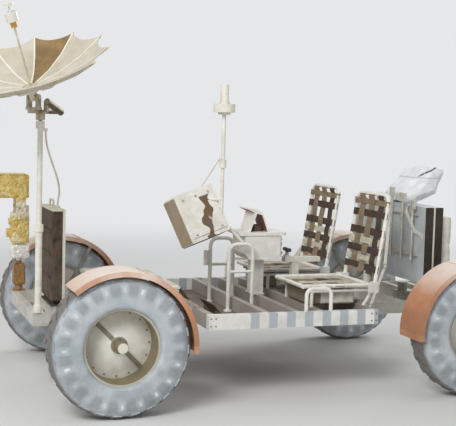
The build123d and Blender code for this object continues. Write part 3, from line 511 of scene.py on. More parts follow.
brown_web = nylon("brown_nylon_webbing", "4d3826", "38271a")
tan_web = nylon("tan_nylon_webbing", "978468", "7a6a50")
cream_web = nylon("cream_nylon_webbing", "d9d2c0", "bfb7a2")
white_web = nylon("white_nylon_webbing", "f1efe8", "dcd8cc")


def thickened(thick, offset):
    """The surface being made, given its wall: offset 0 to both sides of it, 1 on the side it faces."""
    bpy.ops.object.mode_set(mode="OBJECT")
    wall = bpy.context.object.modifiers.new("wall", "SOLIDIFY")
    wall.thickness, wall.offset = thick, offset
    bpy.ops.object.modifier_apply(modifier=wall.name)


def webbing(name, stops, across, width, finish):
    """A strap: one edge extruded from stop to stop, then given its thickness."""
    clear()
    stops = [Vector(stop) for stop in stops]
    bpy.ops.mesh.primitive_plane_add(size=width)
    piece = bpy.context.object
    bpy.ops.object.mode_set(mode="EDIT")
    pick("verts", lambda at, normal: at.x < 0)
    bpy.ops.mesh.delete(type="VERT")
    bpy.ops.object.mode_set(mode="OBJECT")
    turn = Vector((0, 1, 0)).rotation_difference(Vector(across)).to_matrix().to_4x4()
    piece.data.transform(Matrix.Translation(stops[0]) @ turn @ Matrix.Translation((-width / 2, 0, 0)))
    edit_all()
    for a, b in zip(stops, stops[1:]):
        bpy.ops.mesh.extrude_region_move(TRANSFORM_OT_translate={"value": b - a})
    thickened(web_thick, 0)
    face_outward()
    return settled(name, finish, 50)


def laced(name, ups, crossings, bottom, top, place):
    """A panel of straps in a plane: ups run along Z at each y, crossings along Y at each z, and each
    passes over and under the others, with its ends sewn back round the tubes."""
    lift, front, fold, past = 0.0026, 0.0152, 0.014, 0.0295
    half = web_half
    straps = []
    for i, (y, width, finish) in enumerate(ups):
        stops = [(front, bottom - fold), (front * 0.9, bottom)]
        for j, (z, _, _) in enumerate(crossings):
            over_it = lift if (i + j) % 2 else -lift
            stops += [(over_it, z - 0.012), (over_it, z + 0.012)]
        stops += [(front * 0.9, top), (front, top + fold), (0, top + past), (-front, top + fold)]
        straps.append(webbing(name, [(out, y, z) for out, z in stops], (0, 1, 0), width, finish))
    for j, (z, width, finish) in enumerate(crossings):
        stops = [(-front, -half - fold), (0, -half - past), (front, -half - fold), (front * 0.9, -half)]
        for i, (y, _, _) in enumerate(ups):
            over_it = -lift if (i + j) % 2 else lift
            stops += [(over_it, y - 0.02), (over_it, y + 0.02)]
        stops += [(front * 0.9, half), (front, half + fold), (0, half + past), (-front, half + fold)]
        straps.append(webbing(name, [(out, y, z) for out, y in stops], (0, 0, 1), width, finish))
    panel = merged(name, straps)
    panel.data.transform(place)
    return panel


# Each strap's place across the panel, its width and its cloth.
back_ups = [(-0.128, 0.078, tan_web), (0.0, 0.082, tan_web), (0.132, 0.074, brown_web)]
back_crossings = [(0.075, 0.044, brown_web), (0.130, 0.034, cream_web), (0.188, 0.046, brown_web),
                  (0.246, 0.040, cream_web), (0.308, 0.048, brown_web), (0.425, 0.046, brown_web),
                  (0.500, 0.036, tan_web)]
pan_ups = [(-0.145, 0.082, cream_web), (-0.048, 0.082, tan_web), (0.048, 0.082, cream_web),
           (0.145, 0.082, cream_web)]
pan_crossings = [(0.050, 0.066, cream_web), (0.130, 0.066, cream_web), (0.215, 0.066, brown_web),
                 (0.300, 0.066, cream_web), (0.385, 0.066, tan_web)]
back_tilt, pan_lie = Matrix.Rotation(radians(-8.5), 4, "Y"), Matrix.Rotation(pi / 2, 4, "Y")
for side, y in (("left", 0.375), ("right", -0.375)):
    place = Matrix.Translation((-0.613, y, 0.680)) @ back_tilt
    back = laced("laced_back_" + side, back_ups, back_crossings, 0.050, 0.5325, place)
    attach(back, "chassis")
    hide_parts("back_webs")
    place = Matrix.Translation((-0.576, y, 0.660)) @ pan_lie
    pan = laced("laced_pan_" + side, pan_ups, pan_crossings, 0.0145, 0.4475, place)
    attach(pan, "seat_" + side)
    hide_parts("seat_web_" + side)

# Riders' belts. White nylon from the top of each back, round a steel ring beside the seat and down
# to a hook on the side rail; the hook's plate and the adjusting buckle are steel.
buckle_steel = worn("pressed_steel_buckle", "b4b2aa", "8e8c84", cloud_mm=25, grain_mm=1, rough=0.32,
                    metal=0.85, bump_mm=0.05, dust=0.15)
belt_top = Vector((-0.7158, 0.564, 1.1998))
belt_ring = Vector((-0.654, 0.642, 0.782))
belt_foot = Vector((-0.505, 0.740, 0.5345))
belt_flat = Vector((0.94, 0.34, 0)).normalized()
belt_width, belt_sag = 0.026, 0.004


def buckle(name, at, run, across, width):
    """A pressed frame, the strap drawn through it."""
    clear()
    bpy.ops.mesh.primitive_plane_add(size=1)
    plate = bpy.context.object
    plate.scale = (width + 0.012, 0.030, 1)
    bpy.ops.object.transform_apply()
    edit_all()
    bpy.ops.mesh.inset(thickness=0.005, depth=0)
    bpy.ops.mesh.delete(type="FACE")
    thickened(0.004, 0)
    soft = plate.modifiers.new("edges", "BEVEL")
    soft.width, soft.segments = 0.001, 2
    bpy.ops.object.modifier_apply(modifier=soft.name)
    piece = settled(name, buckle_steel)
    x_axis, y_axis = Vector(across).normalized(), Vector(run).normalized()
    turn = Matrix((x_axis, y_axis, x_axis.cross(y_axis))).transposed().to_4x4()
    piece.data.transform(Matrix.Translation(at) @ turn)
    return piece


upper_run, lower_run = belt_ring - belt_top, belt_foot - belt_ring
shoulder = [belt_top + upper_run * k + Vector((0, belt_sag * sin(pi * k), 0))
            for k in (0, 0.2, 0.4, 0.6, 0.8, 1)]
lap = [belt_ring + lower_run * k for k in (0, 0.25, 0.5, 0.75, 1)]
left_belt = merged("belt_left", [
    webbing("shoulder", shoulder, belt_flat, belt_width, white_web),
    webbing("lap", lap, belt_flat, belt_width, white_web),
    buckle("ring", belt_ring + Vector((0, 0, 0.004)), upper_run, belt_flat, 0.026),
    buckle("slide", belt_top + upper_run * 0.72, upper_run, belt_flat, 0.026),
    buckle("hook", belt_foot + Vector((-0.006, -0.004, 0.016)), lower_run, belt_flat, 0.024)])
for belt in (left_belt, copied(left_belt, "belt_right", mirror)):
    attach(belt, "chassis")
    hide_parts("belts")

# Stowage bags and cover. Coated glass cloth, sewn and loosely filled, so it crowns between its
# seams; a soft off-white with grime in its folds, and painted shade in olive at the under-seat bags' front
# ends.
bag_cloth = worn("coated_glass_cloth", "efece3", "d3ccbb", cloud_mm=70, grain_mm=2, rough=0.8, bump_mm=0.25,
                 dust=0.35, dust_top=0.8)


def creased(finish, scale, depth_mm, detail=3.0, twist=0.0):
    """Soft creases pressed into a cloth, about so many to the metre."""
    place = add(finish, "TexCoord").outputs["Object"]
    folds = add(finish, "TexNoise", {"Vector": place, "Scale": scale, "Detail": detail, "Distortion": twist})
    raised(finish, folds, depth_mm)


bags_front = -0.256
creased(bag_cloth, 22.0, 5, twist=1.2)
# Painted shade, olive, over the front ends of the under-seat bags.
over(bag_cloth, "6f6149", (axes(bag_cloth)["X"], bags_front - 0.006, bags_front), share=0.85)

# The cover is whiter, with a seam round it and a dark strap slanting down its side.
cover_cloth = worn("quilted_cover_cloth", "f3f4f5", "e0e3e6", cloud_mm=110, grain_mm=2, rough=0.75,
                   bump_mm=0.2, dust=0.15, dust_top=1.4)
creased(cover_cloth, 12.0, 4, twist=0.8)
seam_z, strap_slope, strap_start = 1.325, 0.545, 0.704
cover_x, _, cover_z = axes(cover_cloth)
over(cover_cloth, "a5a9ac", (off(cover_cloth, cover_z, seam_z), 0.0045, 0.003), share=0.6)
strap_run = add(cover_cloth, "Math", {0: cover_x, 1: strap_slope, 2: cover_z}, operation="MULTIPLY_ADD")
over(cover_cloth, "3b332c", (off(cover_cloth, strap_run, strap_start), 0.0062, 0.0048),
     (cover_z, 1.327, 1.329), (axes(cover_cloth, "Normal")["Y"], 0.55, 0.65), share=0.9)
voxel, pressure, cloth_steps = 0.008, 4.0, 20


def stuffed(name, node, finish, shrink, cap):
    """A copy of a soft solid, drawn in, remeshed and blown up as cloth, with each point's move capped."""
    clear()
    piece = bpy.data.objects.new(name, frame["nodes"][node].data.copy())
    bpy.context.scene.collection.objects.link(piece)
    piece.select_set(True)
    bpy.context.view_layer.objects.active = piece
    edit_all()
    bpy.ops.mesh.remove_doubles(threshold=0.0001)
    bpy.ops.object.mode_set(mode="OBJECT")
    grid = piece.modifiers.new("grid", "REMESH")
    grid.mode, grid.voxel_size = "VOXEL", voxel
    bpy.ops.object.modifier_apply(modifier=grid.name)
    edit_all()
    bpy.ops.mesh.vertices_smooth(factor=0.5, repeat=6)
    bpy.ops.transform.shrink_fatten(value=-shrink)
    bpy.ops.object.mode_set(mode="OBJECT")
    rest = [v.co.copy() for v in piece.data.vertices]
    cloth = piece.modifiers.new("cloth", "CLOTH")
    cloth.settings.use_pressure = True
    cloth.settings.uniform_pressure_force = pressure
    cloth.settings.effector_weights.gravity = 0
    cloth.point_cache.frame_start, cloth.point_cache.frame_end = 1, cloth_steps
    for step in range(1, cloth_steps + 1):
        bpy.context.scene.frame_set(step)
    bpy.ops.object.modifier_apply(modifier=cloth.name)
    bpy.context.scene.frame_set(1)
    for vertex, start in zip(piece.data.vertices, rest):
        move = vertex.co - start
        if move.length > cap:
            vertex.co = start + move * (cap / move.length)
    fine = piece.modifiers.new("fine", "SUBSURF")
    fine.levels = fine.render_levels = 1
    bpy.ops.object.modifier_apply(modifier=fine.name)
    return settled(name, finish, 60)


for name, node, body, finish, shrink, cap in (
        ("stowage_bags", "seat_bags", "chassis", bag_cloth, 0.009, 0.010),
        ("collection_bags", "sample_bags", "pallet", bag_cloth, 0.011, 0.014),
        ("folded_cover", "rear_cover", "pallet", cover_cloth, 0.012, 0.016)):
    bag = stuffed(name, node, finish, shrink, cap)
    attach(bag, body)
    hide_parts(node)

# Forward boxes. Batteries and electronics sit under lids in blankets of aluminised film and glass
# cloth, taped at the corners: off-white, crumpled, grimy towards the deck.
blanket = worn("glass_cloth_thermal_blanket", "e9e6dc", "cdc5b1", cloud_mm=90, grain_mm=2, rough=0.7,
               bump_mm=0.2, dust=0.45, dust_top=0.75)
blanket_at = add(blanket, "TexCoord").outputs["Object"]
crumple = add(blanket, "TexVoronoi", {"Vector": blanket_at, "Scale": 26.0})
raised(blanket, crumple.outputs["Distance"], 4)
dress(blanket, "deck_boxes")

# Radio. A magnesium box in a blanket of glass cloth, painted dark brown as shade, streaked and
# puckered, with a painted highlight along its aft edge and over the top.
radio_cloth = worn("quilted_brown_blanket", "553f2f", "33251b", cloud_mm=60, grain_mm=2, rough=0.8,
                   bump_mm=0.2, dust=0.3, dust_top=1.1)
radio_at = add(radio_cloth, "TexCoord").outputs["Object"]
stretched = add(radio_cloth, "Mapping", {"Vector": radio_at, "Scale": (1, 1, 0.16)})
streaks = add(radio_cloth, "TexNoise", {"Vector": stretched, "Scale": 42.0, "Detail": 1.5, "Distortion": 0.6})
over(radio_cloth, "7d6549", (streaks, 0.54, 0.72), share=0.35)
creased(radio_cloth, 24.0, 6, detail=2.0)

# Painted highlight along the aft edge and over the top.
radio_x, _, radio_z = axes(radio_cloth)
over(radio_cloth, "e0dccf", (radio_x, 1.3415, 1.3405))
over(radio_cloth, "d8d2c2", (radio_z, 1.104, 1.107))
dress(radio_cloth, "lcru")

# Television camera, its pan head and staff. Wrapped in gold-coated polyimide film, crumpled by hand
# and taped over the aluminium, with painted shade in brown at the foot; the lens looks out of a black tube at
# the front.
film = worn("gold_polyimide_film", "f0dc94", "d1ab50", cloud_mm=45, grain_mm=8, rough=0.36, metal=0.35,
            bump_mm=0.8, dust=0.1, dust_top=1.0)
film_at = add(film, "TexCoord").outputs["Object"]
crinkle = add(film, "TexVoronoi", {"Vector": film_at, "Scale": 34.0}, feature="DISTANCE_TO_EDGE")
raised(film, crinkle.outputs["Distance"], 6)
patchy = add(film, "TexNoise", {"Vector": film_at, "Scale": 16.0, "Detail": 2.0})
shaded = add(film, "TexNoise", {"Vector": film_at, "Scale": 30.0, "Detail": 3.0})
film_x, _, film_z = axes(film)

# White patches, painted shade in brown on the staff's foot, its white boot, the white yoke under the
# camera, painted shade in the crumples, and the black housing of the lens.
over(film, "f3ead2", (patchy, 0.60, 0.66), share=0.7)
over(film, "8a5f3d", (film_z, 0.725, 0.720), share=0.85)
over(film, "f2efe6", (film_z, 0.724, 0.726), (film_z, 0.841, 0.839))
over(film, "f0ece0", (film_z, 1.000, 1.030), (film_z, 1.130, 1.110), share=0.7)
over(film, "8a5f22", (shaded, 0.60, 0.70), share=0.6)
over(film, "29282a", (film_x, 1.6640, 1.6645))
dress(film, "tv_camera", "tv_head", "tv_staff")
lens_black = worn("black_anodised_lens_tube", "2b2b2c", "1d1d1e", cloud_mm=20, grain_mm=1, rough=0.4,
                  metal=0.5, dust=0.1)
lens_glass = worn("coated_lens_glass", "1c2b33", "16222b", cloud_mm=30, grain_mm=1, rough=0.06, bump_mm=0.0,
                  dust=0.0)


def crumpled(name, low, high, cut, lift, seed):
    """A wrap of film round a case: a cut block, divided, with its faces pushed in and out at random."""
    clear()
    low, high = Vector(low), Vector(high)
    bpy.ops.mesh.primitive_cube_add(size=1, location=(low + high) / 2)
    wrap = bpy.context.object
    wrap.scale = high - low
    bpy.ops.object.transform_apply()
    edit_all()
    bpy.ops.mesh.bevel(offset=cut, segments=2, affect="EDGES")
    bpy.ops.mesh.select_all(action="SELECT")
    bpy.ops.mesh.subdivide(number_cuts=11)
    bpy.ops.transform.vertex_random(offset=0.0012, seed=seed)
    bpy.ops.object.mode_set(mode="OBJECT")
    rumple = bpy.data.textures.new(name + "_rumple", "CLOUDS")
    rumple.noise_scale, rumple.noise_depth = 0.035, 2
    push = wrap.modifiers.new("rumple", "DISPLACE")
    push.texture, push.strength, push.mid_level, push.texture_coords = rumple, lift, 0.5, "GLOBAL"
    bpy.ops.object.modifier_apply(modifier=push.name)
    return settled(name, film, 14)


# Each wrap's body, its box's two corners, the cut of its edges, its crumples' height and their seed.
wraps = (
    ("camera_film", "tv_camera_box", (1.4465, -0.4765, 1.1395), (1.6615, -0.3635, 1.2925), 0.012, 0.006, 3),
    ("pan_head_film", "tv_pan_head", (1.4435, -0.4825, 0.8435), (1.5565, -0.3575, 1.0415), 0.012, 0.008, 5),
    ("staff_boot_film", "chassis", (1.4400, -0.4800, 0.7400), (1.5600, -0.3600, 0.8310), 0.014, 0.010, 7),
    ("staff_foot_film", "chassis", (1.4620, -0.4580, 0.5640), (1.5380, -0.3820, 0.7050), 0.010, 0.007, 11))
for name, body, low, high, cut, lift, seed in wraps:
    wrap = crumpled(name, low, high, cut, lift, seed)
    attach(wrap, body)

lens_y, lens_z = -0.42, 1.216
tube_steps = ((0.004, 1.04), (0.012, 1.0), (0.003, 0.97), (0.012, 1.0), (0.002, 1.17), (0.0265, 1.0))
clear()
bpy.ops.mesh.primitive_uv_sphere_add(segments=32, ring_count=12, radius=0.0335,
                                     location=(1.724, lens_y, lens_z))
bpy.context.object.scale = (0.25, 1, 1)
edit_all()
bpy.ops.mesh.bisect(plane_co=(1.7205, lens_y, lens_z), plane_no=(1, 0, 0), clear_inner=True, use_fill=True)
glass = settled("camera_lens", lens_glass)
clear()
bpy.ops.mesh.primitive_circle_add(vertices=32, radius=0.0375, location=(1.700, lens_y, lens_z),
                                  rotation=(0, pi / 2, 0))
bpy.ops.object.transform_apply()
bpy.ops.object.mode_set(mode="EDIT")


def drawn_out(steps, y, z):
    """A ring extruded along X by each step, and grown there from the middle at y, z."""
    for forward, grow in steps:
        bpy.ops.mesh.extrude_region_move(TRANSFORM_OT_translate={"value": (forward, 0, 0)})
        bpy.ops.transform.resize(value=(1, grow, grow), center_override=(0, y, z))


drawn_out(tube_steps, lens_y, lens_z)
thickened(0.001, 1)
tube = settled("lens_tube", lens_black)
for piece in (glass, tube):
    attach(piece, "tv_camera_box")

# Antenna mast and gimbal. Aluminium tube with a thin chalky white paint, clamps and gimbal left
# bare and a little yellow, and a sighting tube that is white above; painted shade on the gimbal's faces
# beneath.
mast_paint = worn("chalky_white_mast_paint", "ebe8de", "d6d1c2", cloud_mm=70, grain_mm=2, rough=0.6,
                  bump_mm=0.15, dust=0.25, dust_top=0.9)
gimbal_skin = worn("bare_aluminium_gimbal", "c6bda6", "9b917b", cloud_mm=40, grain_mm=2, rough=0.45,
                   metal=0.5, dust=0.15)
# Painted shade on the gimbal's faces that look down.
over(gimbal_skin, "4a4540", (axes(gimbal_skin, "Normal")["Z"], 0.0, -0.2), share=0.8)
dress(mast_paint, "hga_mast", "lga_staff", "lga_antenna")
dress(gimbal_skin, "hga_gimbal")

# Umbrella antenna. Twelve gores of gold-plated wire cloth, pale beige but one patched browner, sewn
# to folding ribs and hemmed in cream; the feed on its stem is white over a gilt collar.
mast_x, mast_y, tilt_x, tilt_z = 1.515, 0.420, 0.062, 1.784
dish_r, dish_rise, dish_depth, rib_count, scallop = 0.488, 0.070, 0.142, 12, 0.034
dish_turn, dish_tilt, brown_gore, wires_apart = radians(41.2), radians(24.5), -6.0, 0.008
in_dish = (Matrix.Translation((mast_x, mast_y, 0)) @ Matrix.Rotation(dish_turn, 4, "Z")
           @ Matrix.Translation((tilt_x, 0, tilt_z)) @ Matrix.Rotation(dish_tilt, 4, "Y"))
feed_axis = in_dish.to_3x3() @ Vector((0, 0, 1))
ribs_metal = worn("gilt_rib_metal", "ddd5bf", "c0b596", cloud_mm=50, grain_mm=2, rough=0.4, metal=0.4,
                  dust=0.05, dust_top=1.0)
ribs_at = add(ribs_metal, "TexCoord").outputs["Object"]
from_axle = add(ribs_metal, "VectorMath", {0: ribs_at, 1: in_dish.to_translation()}, operation="SUBTRACT")
along_stem = add(ribs_metal, "VectorMath", {0: from_axle, 1: feed_axis}, operation="DOT_PRODUCT")
up_stem = along_stem.outputs["Value"]
collar_up, feed_up = 0.420, 0.460
over(ribs_metal, "c9a24c", (up_stem, collar_up, collar_up + 0.004))
over(ribs_metal, "e6e3da", (up_stem, feed_up, feed_up + 0.003))
dress(ribs_metal, "dish_frame")

# Gold-plated wire cloth, dull and pale, with its wires drawn at 8 mm because they are too fine to show.
gore_cloth = worn("gold_plated_wire_cloth", "d6d0c2", "c6bea9", cloud_mm=90, grain_mm=3, rough=0.55,
                  metal=0.15, bump_mm=0.2, dust=0.05, dust_top=1.0)
own = add(gore_cloth, "Attribute", attribute_name="in_dish").outputs["Vector"]
own_x, own_y, _ = add(gore_cloth, "SeparateXYZ", {0: own}).outputs
gore_turn = add(gore_cloth, "Math", {0: own_y, 1: own_x}, operation="ARCTAN2")
gore_share = add(gore_cloth, "Math", {0: gore_turn, 1: rib_count / (2 * pi)}, operation="MULTIPLY")
gore_number = add(gore_cloth, "Math", {0: gore_share}, operation="FLOOR")

# Every gore's own tint, the brown gore and its paler patches.
on_brown = (add(gore_cloth, "Math", {0: gore_number, 1: brown_gore, 2: 0.1}, operation="COMPARE"), 0.0, 1.0)
tint = add(gore_cloth, "TexWhiteNoise", {"W": gore_number}, noise_dimensions="1D").outputs["Value"]
bronzed = add(gore_cloth, "TexNoise", {"Vector": own, "Scale": 11.0, "Detail": 4.0, "Roughness": 0.7})
over(gore_cloth, "b3a68c", (tint, 0.0, 1.0), share=0.4)
over(gore_cloth, "80663e", on_brown)
over(gore_cloth, "a98d5c", (bronzed, 0.42, 0.66), on_brown, share=0.6)

# The hems, by how far a point is from the nearest rib.
gore_part = add(gore_cloth, "Math", {0: gore_share}, operation="FRACT")
rib_near = add(gore_cloth, "Math", {0: 0.5, 1: off(gore_cloth, gore_part, 0.5)}, operation="SUBTRACT")
rib_away = add(gore_cloth, "Math", {0: rib_near, 1: reach(gore_cloth, own_x, own_y)}, operation="MULTIPLY")
over(gore_cloth, "f0ebdd", (rib_away, 0.0095, 0.0075))
weave = [waves(gore_cloth, run, 2 * pi / wires_apart) for run in (own_x, own_y)]
raised(gore_cloth, add(gore_cloth, "Math", {0: weave[0], 1: weave[1]}, operation="ADD"), 0.3)

# A rib bends at each of these shares of the dish's radius, to this share of its depth.
rib_bends = ((0.1, 0.01), (0.4, 0.16), (0.7, 0.49), (1.0, 1.0))
rib_stops = (0.1, 0.25, 0.4, 0.55, 0.7, 0.85, 1.0)


def bowl_z(share):
    """Height over the tilt axle of the gores, which run straight between the ribs' bends."""
    for (a, low), (b, high) in zip(rib_bends, rib_bends[1:]):
        if share <= b:
            return dish_rise + dish_depth * (low + (high - low) * (share - a) / (b - a)) + 0.0006


clear()
bpy.ops.mesh.primitive_circle_add(vertices=rib_count, radius=dish_r * rib_stops[0],
                                  location=(0, 0, bowl_z(rib_stops[0])))
bpy.ops.object.transform_apply()
edit_all()
bpy.ops.mesh.subdivide(number_cuts=7)
for inner, outer in zip(rib_stops, rib_stops[1:]):
    bpy.ops.mesh.extrude_region_move(TRANSFORM_OT_translate={"value": (0, 0, bowl_z(outer) - bowl_z(inner))})
    bpy.ops.transform.resize(value=(outer / inner, outer / inner, 1), center_override=(0, 0, 0))
chord, middle_r = dish_r * sin(pi / rib_count), dish_r * cos(pi / rib_count)
hem_r = (chord ** 2 + scallop ** 2) / (2 * scallop)
hem_centre = middle_r - scallop + hem_r
for step in range(4):
    along = step / 4 * chord
    drawn_in = (hem_centre - (hem_r ** 2 - along ** 2) ** 0.5) / middle_r
    far_out = hypot(middle_r, along)
    pick("verts", lambda at, normal: at.z > bowl_z(0.93) and abs(hypot(at.x, at.y) - far_out) < 0.0008)
    bpy.ops.transform.resize(value=(drawn_in, drawn_in, 1), center_override=(0, 0, 0))
    bpy.ops.transform.translate(value=(0, 0, bowl_z(drawn_in) - bowl_z(1.0)))
thickened(0.0022, 1)
face_outward()
gores = settled("wire_cloth_gores", gore_cloth, 25)
keep_places(gores, "in_dish")
gores.data.transform(in_dish)
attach(gores, "hga_dish")
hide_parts("dish_mesh")

# Antenna lead. Coax in a cream jacket, clamped at the top of the mast, which swings clear of it
# and drops into a gland on the radio's lid.
jacket = worn("cream_lead_jacket", "e2dcc8", "cfc6ad", cloud_mm=60, grain_mm=2, rough=0.55, dust=0.1,
              dust_top=1.0)
lead_path = bpy.data.curves.new("antenna_coax", "CURVE")
lead_path.dimensions = "3D"
lead_path.bevel_depth, lead_path.bevel_resolution, lead_path.resolution_u = 0.006, 4, 16
route = ((1.483, 0.420, 1.590), (1.483, 0.420, 1.530), (1.440, 0.372, 1.420), (1.385, 0.300, 1.305),
         (1.358, 0.228, 1.218), (1.365, 0.200, 1.170), (1.365, 0.200, 1.136))
line = lead_path.splines.new("NURBS")
line.points.add(len(route) - 1)
for point, place in zip(line.points, route):
    point.co = (*place, 1)
line.order_u, line.use_endpoint_u = 3, True
lead = bpy.data.objects.new("antenna_coax", lead_path)
bpy.context.scene.collection.objects.link(lead)
lead.data.materials.append(jacket)
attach(lead, "chassis")
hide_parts("antenna_lead")

# Map case. A folding bag of beta cloth over a stiff frame, hung from the low-gain staff and closed
# by snaps: white and a little dusty, with painted shade on its front end and underside and a painted shadow
# across its face.
case_cloth = worn("white_case_cloth_dust_and_painted_shadow", "f0eee7", "dfdacd", cloud_mm=80, grain_mm=2, rough=0.8,
                  bump_mm=0.25, dust=0.25, dust_top=1.3)
in_case = (Matrix.Translation((0.458, 0.165, 1.066)) @ Matrix.Rotation(radians(12), 4, "Z")
           @ Matrix.Rotation(radians(20), 4, "X") @ Matrix.Rotation(radians(17), 4, "Y"))
case_at = add(case_cloth, "TexCoord").outputs["Object"]
case_own = add(case_cloth, "Mapping", {"Vector": case_at, "Location": in_case.to_translation(),
                                       "Rotation": in_case.to_euler()}, vector_type="TEXTURE")
case_x, _, case_z = add(case_cloth, "SeparateXYZ", {0: case_own}).outputs
shadow_noise = add(case_cloth, "TexNoise", {"Vector": case_own, "Scale": 11.0, "Detail": 1.0})
shadow_wander = add(case_cloth, "Math", {0: shadow_noise, 1: 0.16, 2: -0.075}, operation="MULTIPLY_ADD")
shadow_slant = add(case_cloth, "Math", {0: case_z, 1: 0.30, 2: case_x}, operation="MULTIPLY_ADD")
from_painted_shadow = add(case_cloth, "Math", {0: shadow_slant, 1: shadow_wander}, operation="ADD")

# Painted shade on the front end and the underside, and a painted shadow that slants and wanders down the
# face.
over(case_cloth, "8c7454", (case_x, 0.1520, 0.1535), share=0.8)
over(case_cloth, "73604a", (case_z, -0.1600, -0.1615), share=0.85)
over(case_cloth, "6f5a42", (off(case_cloth, from_painted_shadow, -0.035), 0.034, 0.030), (case_z, 0.108, 0.102))
creased(case_cloth, 18.0, 3)
dress(case_cloth, "map_case")
snap_steel = worn("nickel_plated_snap", "c9c9c4", "a3a39d", cloud_mm=15, grain_mm=1, rough=0.3, metal=0.8)
snap_places = [(x, 0.0775, z) for x, z in ((-0.10, 0.118), (0.0, 0.118), (0.10, 0.118), (-0.10, -0.118),
                                           (0.10, -0.118))]
snaps = screws("case_snaps", snap_places, (0, 1, 0), 0.011, 0.006, snap_steel)
snaps.data.transform(in_case)
hanger_top, hanger_end = Vector((0.320, 0.190, 1.440)), in_case @ Vector((-0.115, 0.0, 0.1640))
hanger_stops = [hanger_top.lerp(hanger_end, k) for k in (0, 0.33, 0.66, 1)]
hanger_stops.append(in_case @ Vector((-0.075, 0.0, 0.1634)))
hanger = webbing("case_hanger", hanger_stops, (0, 1, 0), 0.014, cream_web)
for piece in (snaps, hanger):
    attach(piece, "chassis")

# Console. Painted magnesium box and plate with a folded hood over the dial; the riders read round
# gauges and throw toggle switches on its aft face, which is grey. Inside the hood is painted shade, brown.
console_paint = worn("matt_white_console_paint", "f0eee9", "e2dfd6", cloud_mm=90, grain_mm=2, rough=0.55,
                     bump_mm=0.15, dust=0.3, dust_top=1.0)
hood_axis = (0.004, 0.0, 1.020)
console_x, console_y, console_z = axes(console_paint)
console_at = add(console_paint, "TexCoord").outputs
from_hood = add(console_paint, "VectorMath", {0: console_at["Object"], 1: hood_axis}, operation="SUBTRACT")
hood_flat = add(console_paint, "VectorMath", {0: from_hood, 1: (1.0, 0.0, 1.0)}, operation="MULTIPLY")
facing_out = add(console_paint, "VectorMath", {0: hood_flat, 1: console_at["Normal"]},
                 operation="DOT_PRODUCT")
in_hood = (console_z, 0.9525, 0.9530)

# The aft face; painted shade inside the hood and on the block under it.
over(console_paint, "74767a", (console_x, -0.1555, -0.1565), (console_z, 0.925, 0.922))
over(console_paint, "8a5a45", (facing_out.outputs["Value"], -0.004, -0.006), in_hood)
over(console_paint, "4d3a2e", (console_z, 0.9935, 0.9925), (off(console_paint, console_y), 0.0610, 0.0605),
     (off(console_paint, console_x, -0.005), 0.0262, 0.0258), in_hood)
dress(console_paint, "console")
switch_metal = worn("nickelled_switch_bat", "c2c1bb", "9a9993", cloud_mm=20, grain_mm=1, rough=0.3,
                    metal=0.85)

# The dials are matt black with 24 white marks and a steel needle, behind a nickelled bezel.
dial_y, dial_z, dial_r, needle_z = 0.0625, 0.868, 0.0195, 0.872
dial_black = worn("matt_black_dial", "262627", "1c1c1d", cloud_mm=20, grain_mm=1, rough=0.6, dust=0.1)
_, dial_at_y, dial_at_z = axes(dial_black)
mark_y = add(dial_black, "Math", {0: off(dial_black, dial_at_y), 1: dial_y}, operation="SUBTRACT")
mark_z = add(dial_black, "Math", {0: dial_at_z, 1: dial_z}, operation="SUBTRACT")
mark_turn = add(dial_black, "Math", {0: mark_z, 1: mark_y}, operation="ARCTAN2")
mark_r = reach(dial_black, mark_y, mark_z)
over(dial_black, "ecebe4", (waves(dial_black, mark_turn, 24.0, "COSINE"), 0.75, 0.85),
     (mark_r, 0.0145, 0.0150), (mark_r, 0.0190, 0.0185))
gauges = []
for y in (-dial_y, dial_y):
    clear()
    bpy.ops.mesh.primitive_circle_add(vertices=40, radius=dial_r, fill_type="NGON",
                                      location=(-0.1675, y, dial_z), rotation=(0, -pi / 2, 0))
    gauges.append(settled("gauge_dial", dial_black))
    clear()
    bpy.ops.mesh.primitive_circle_add(vertices=40, radius=dial_r, location=(-0.1672, y, dial_z),
                                      rotation=(0, pi / 2, 0))
    bpy.ops.object.transform_apply()
    bpy.ops.object.mode_set(mode="EDIT")
    drawn_out(((-0.0033, 1.02), (-0.0015, 1.07), (0.0015, 1.06), (0.0050, 1.05)), y, dial_z)
    face_outward()
    gauges.append(settled("gauge_bezel", switch_metal))
    clear()
    bpy.ops.mesh.primitive_plane_add(size=0.01, location=(-0.1686, y, needle_z), rotation=(0, pi / 2, 0))
    bpy.context.object.scale = (1.7, 0.12, 1)
    bpy.ops.object.transform_apply()
    bpy.ops.object.mode_set(mode="EDIT")
    pick("verts", lambda at, normal: at.z > needle_z)
    bpy.ops.transform.resize(value=(1, 0.2, 1), center_override=(0, y, needle_z))
    thickened(0.0006, 0)
    gauges.append(settled("gauge_needle", snap_steel))
switch_places = [(-0.157, -0.085 + 0.025 * i, z) for z in (0.800, 0.902) for i in range(8)]
dials = merged("console_gauges", gauges)
switches = screws("console_switches", switch_places, (-1, 0, 0), 0.0042, 0.016, switch_metal)
for piece in (dials, switches):
    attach(piece, "chassis")

# Cabinet. The aft pallet is a grey honeycomb panel box with dark side plates, white edges, and tools
# of anodised aluminium in spring clips; it swings on a steel post.
cabinet = worn("grey_honeycomb_cabinet", "ccd1d3", "b4babd", cloud_mm=160, grain_mm=2, rough=0.55, metal=0.15,
               bump_mm=0.15, dust=0.3, dust_top=0.9)

# The side plates, and the white edge down each.
cabinet_x, cabinet_y, _ = axes(cabinet)
side_plate = (off(cabinet, cabinet_y), 0.5265, 0.5275)
over(cabinet, "2a1d14", side_plate)
over(cabinet, "d9d4c4", (off(cabinet, cabinet_x, -1.066), 0.007, 0.005), side_plate)
tool_metal = worn("anodised_tool_aluminium", "dad8cf", "b9b5a8", cloud_mm=60, grain_mm=1, rough=0.4,
                  metal=0.6, dust=0.3)
dress(cabinet, "pallet_gate")
dress(tool_metal, "hand_tools")

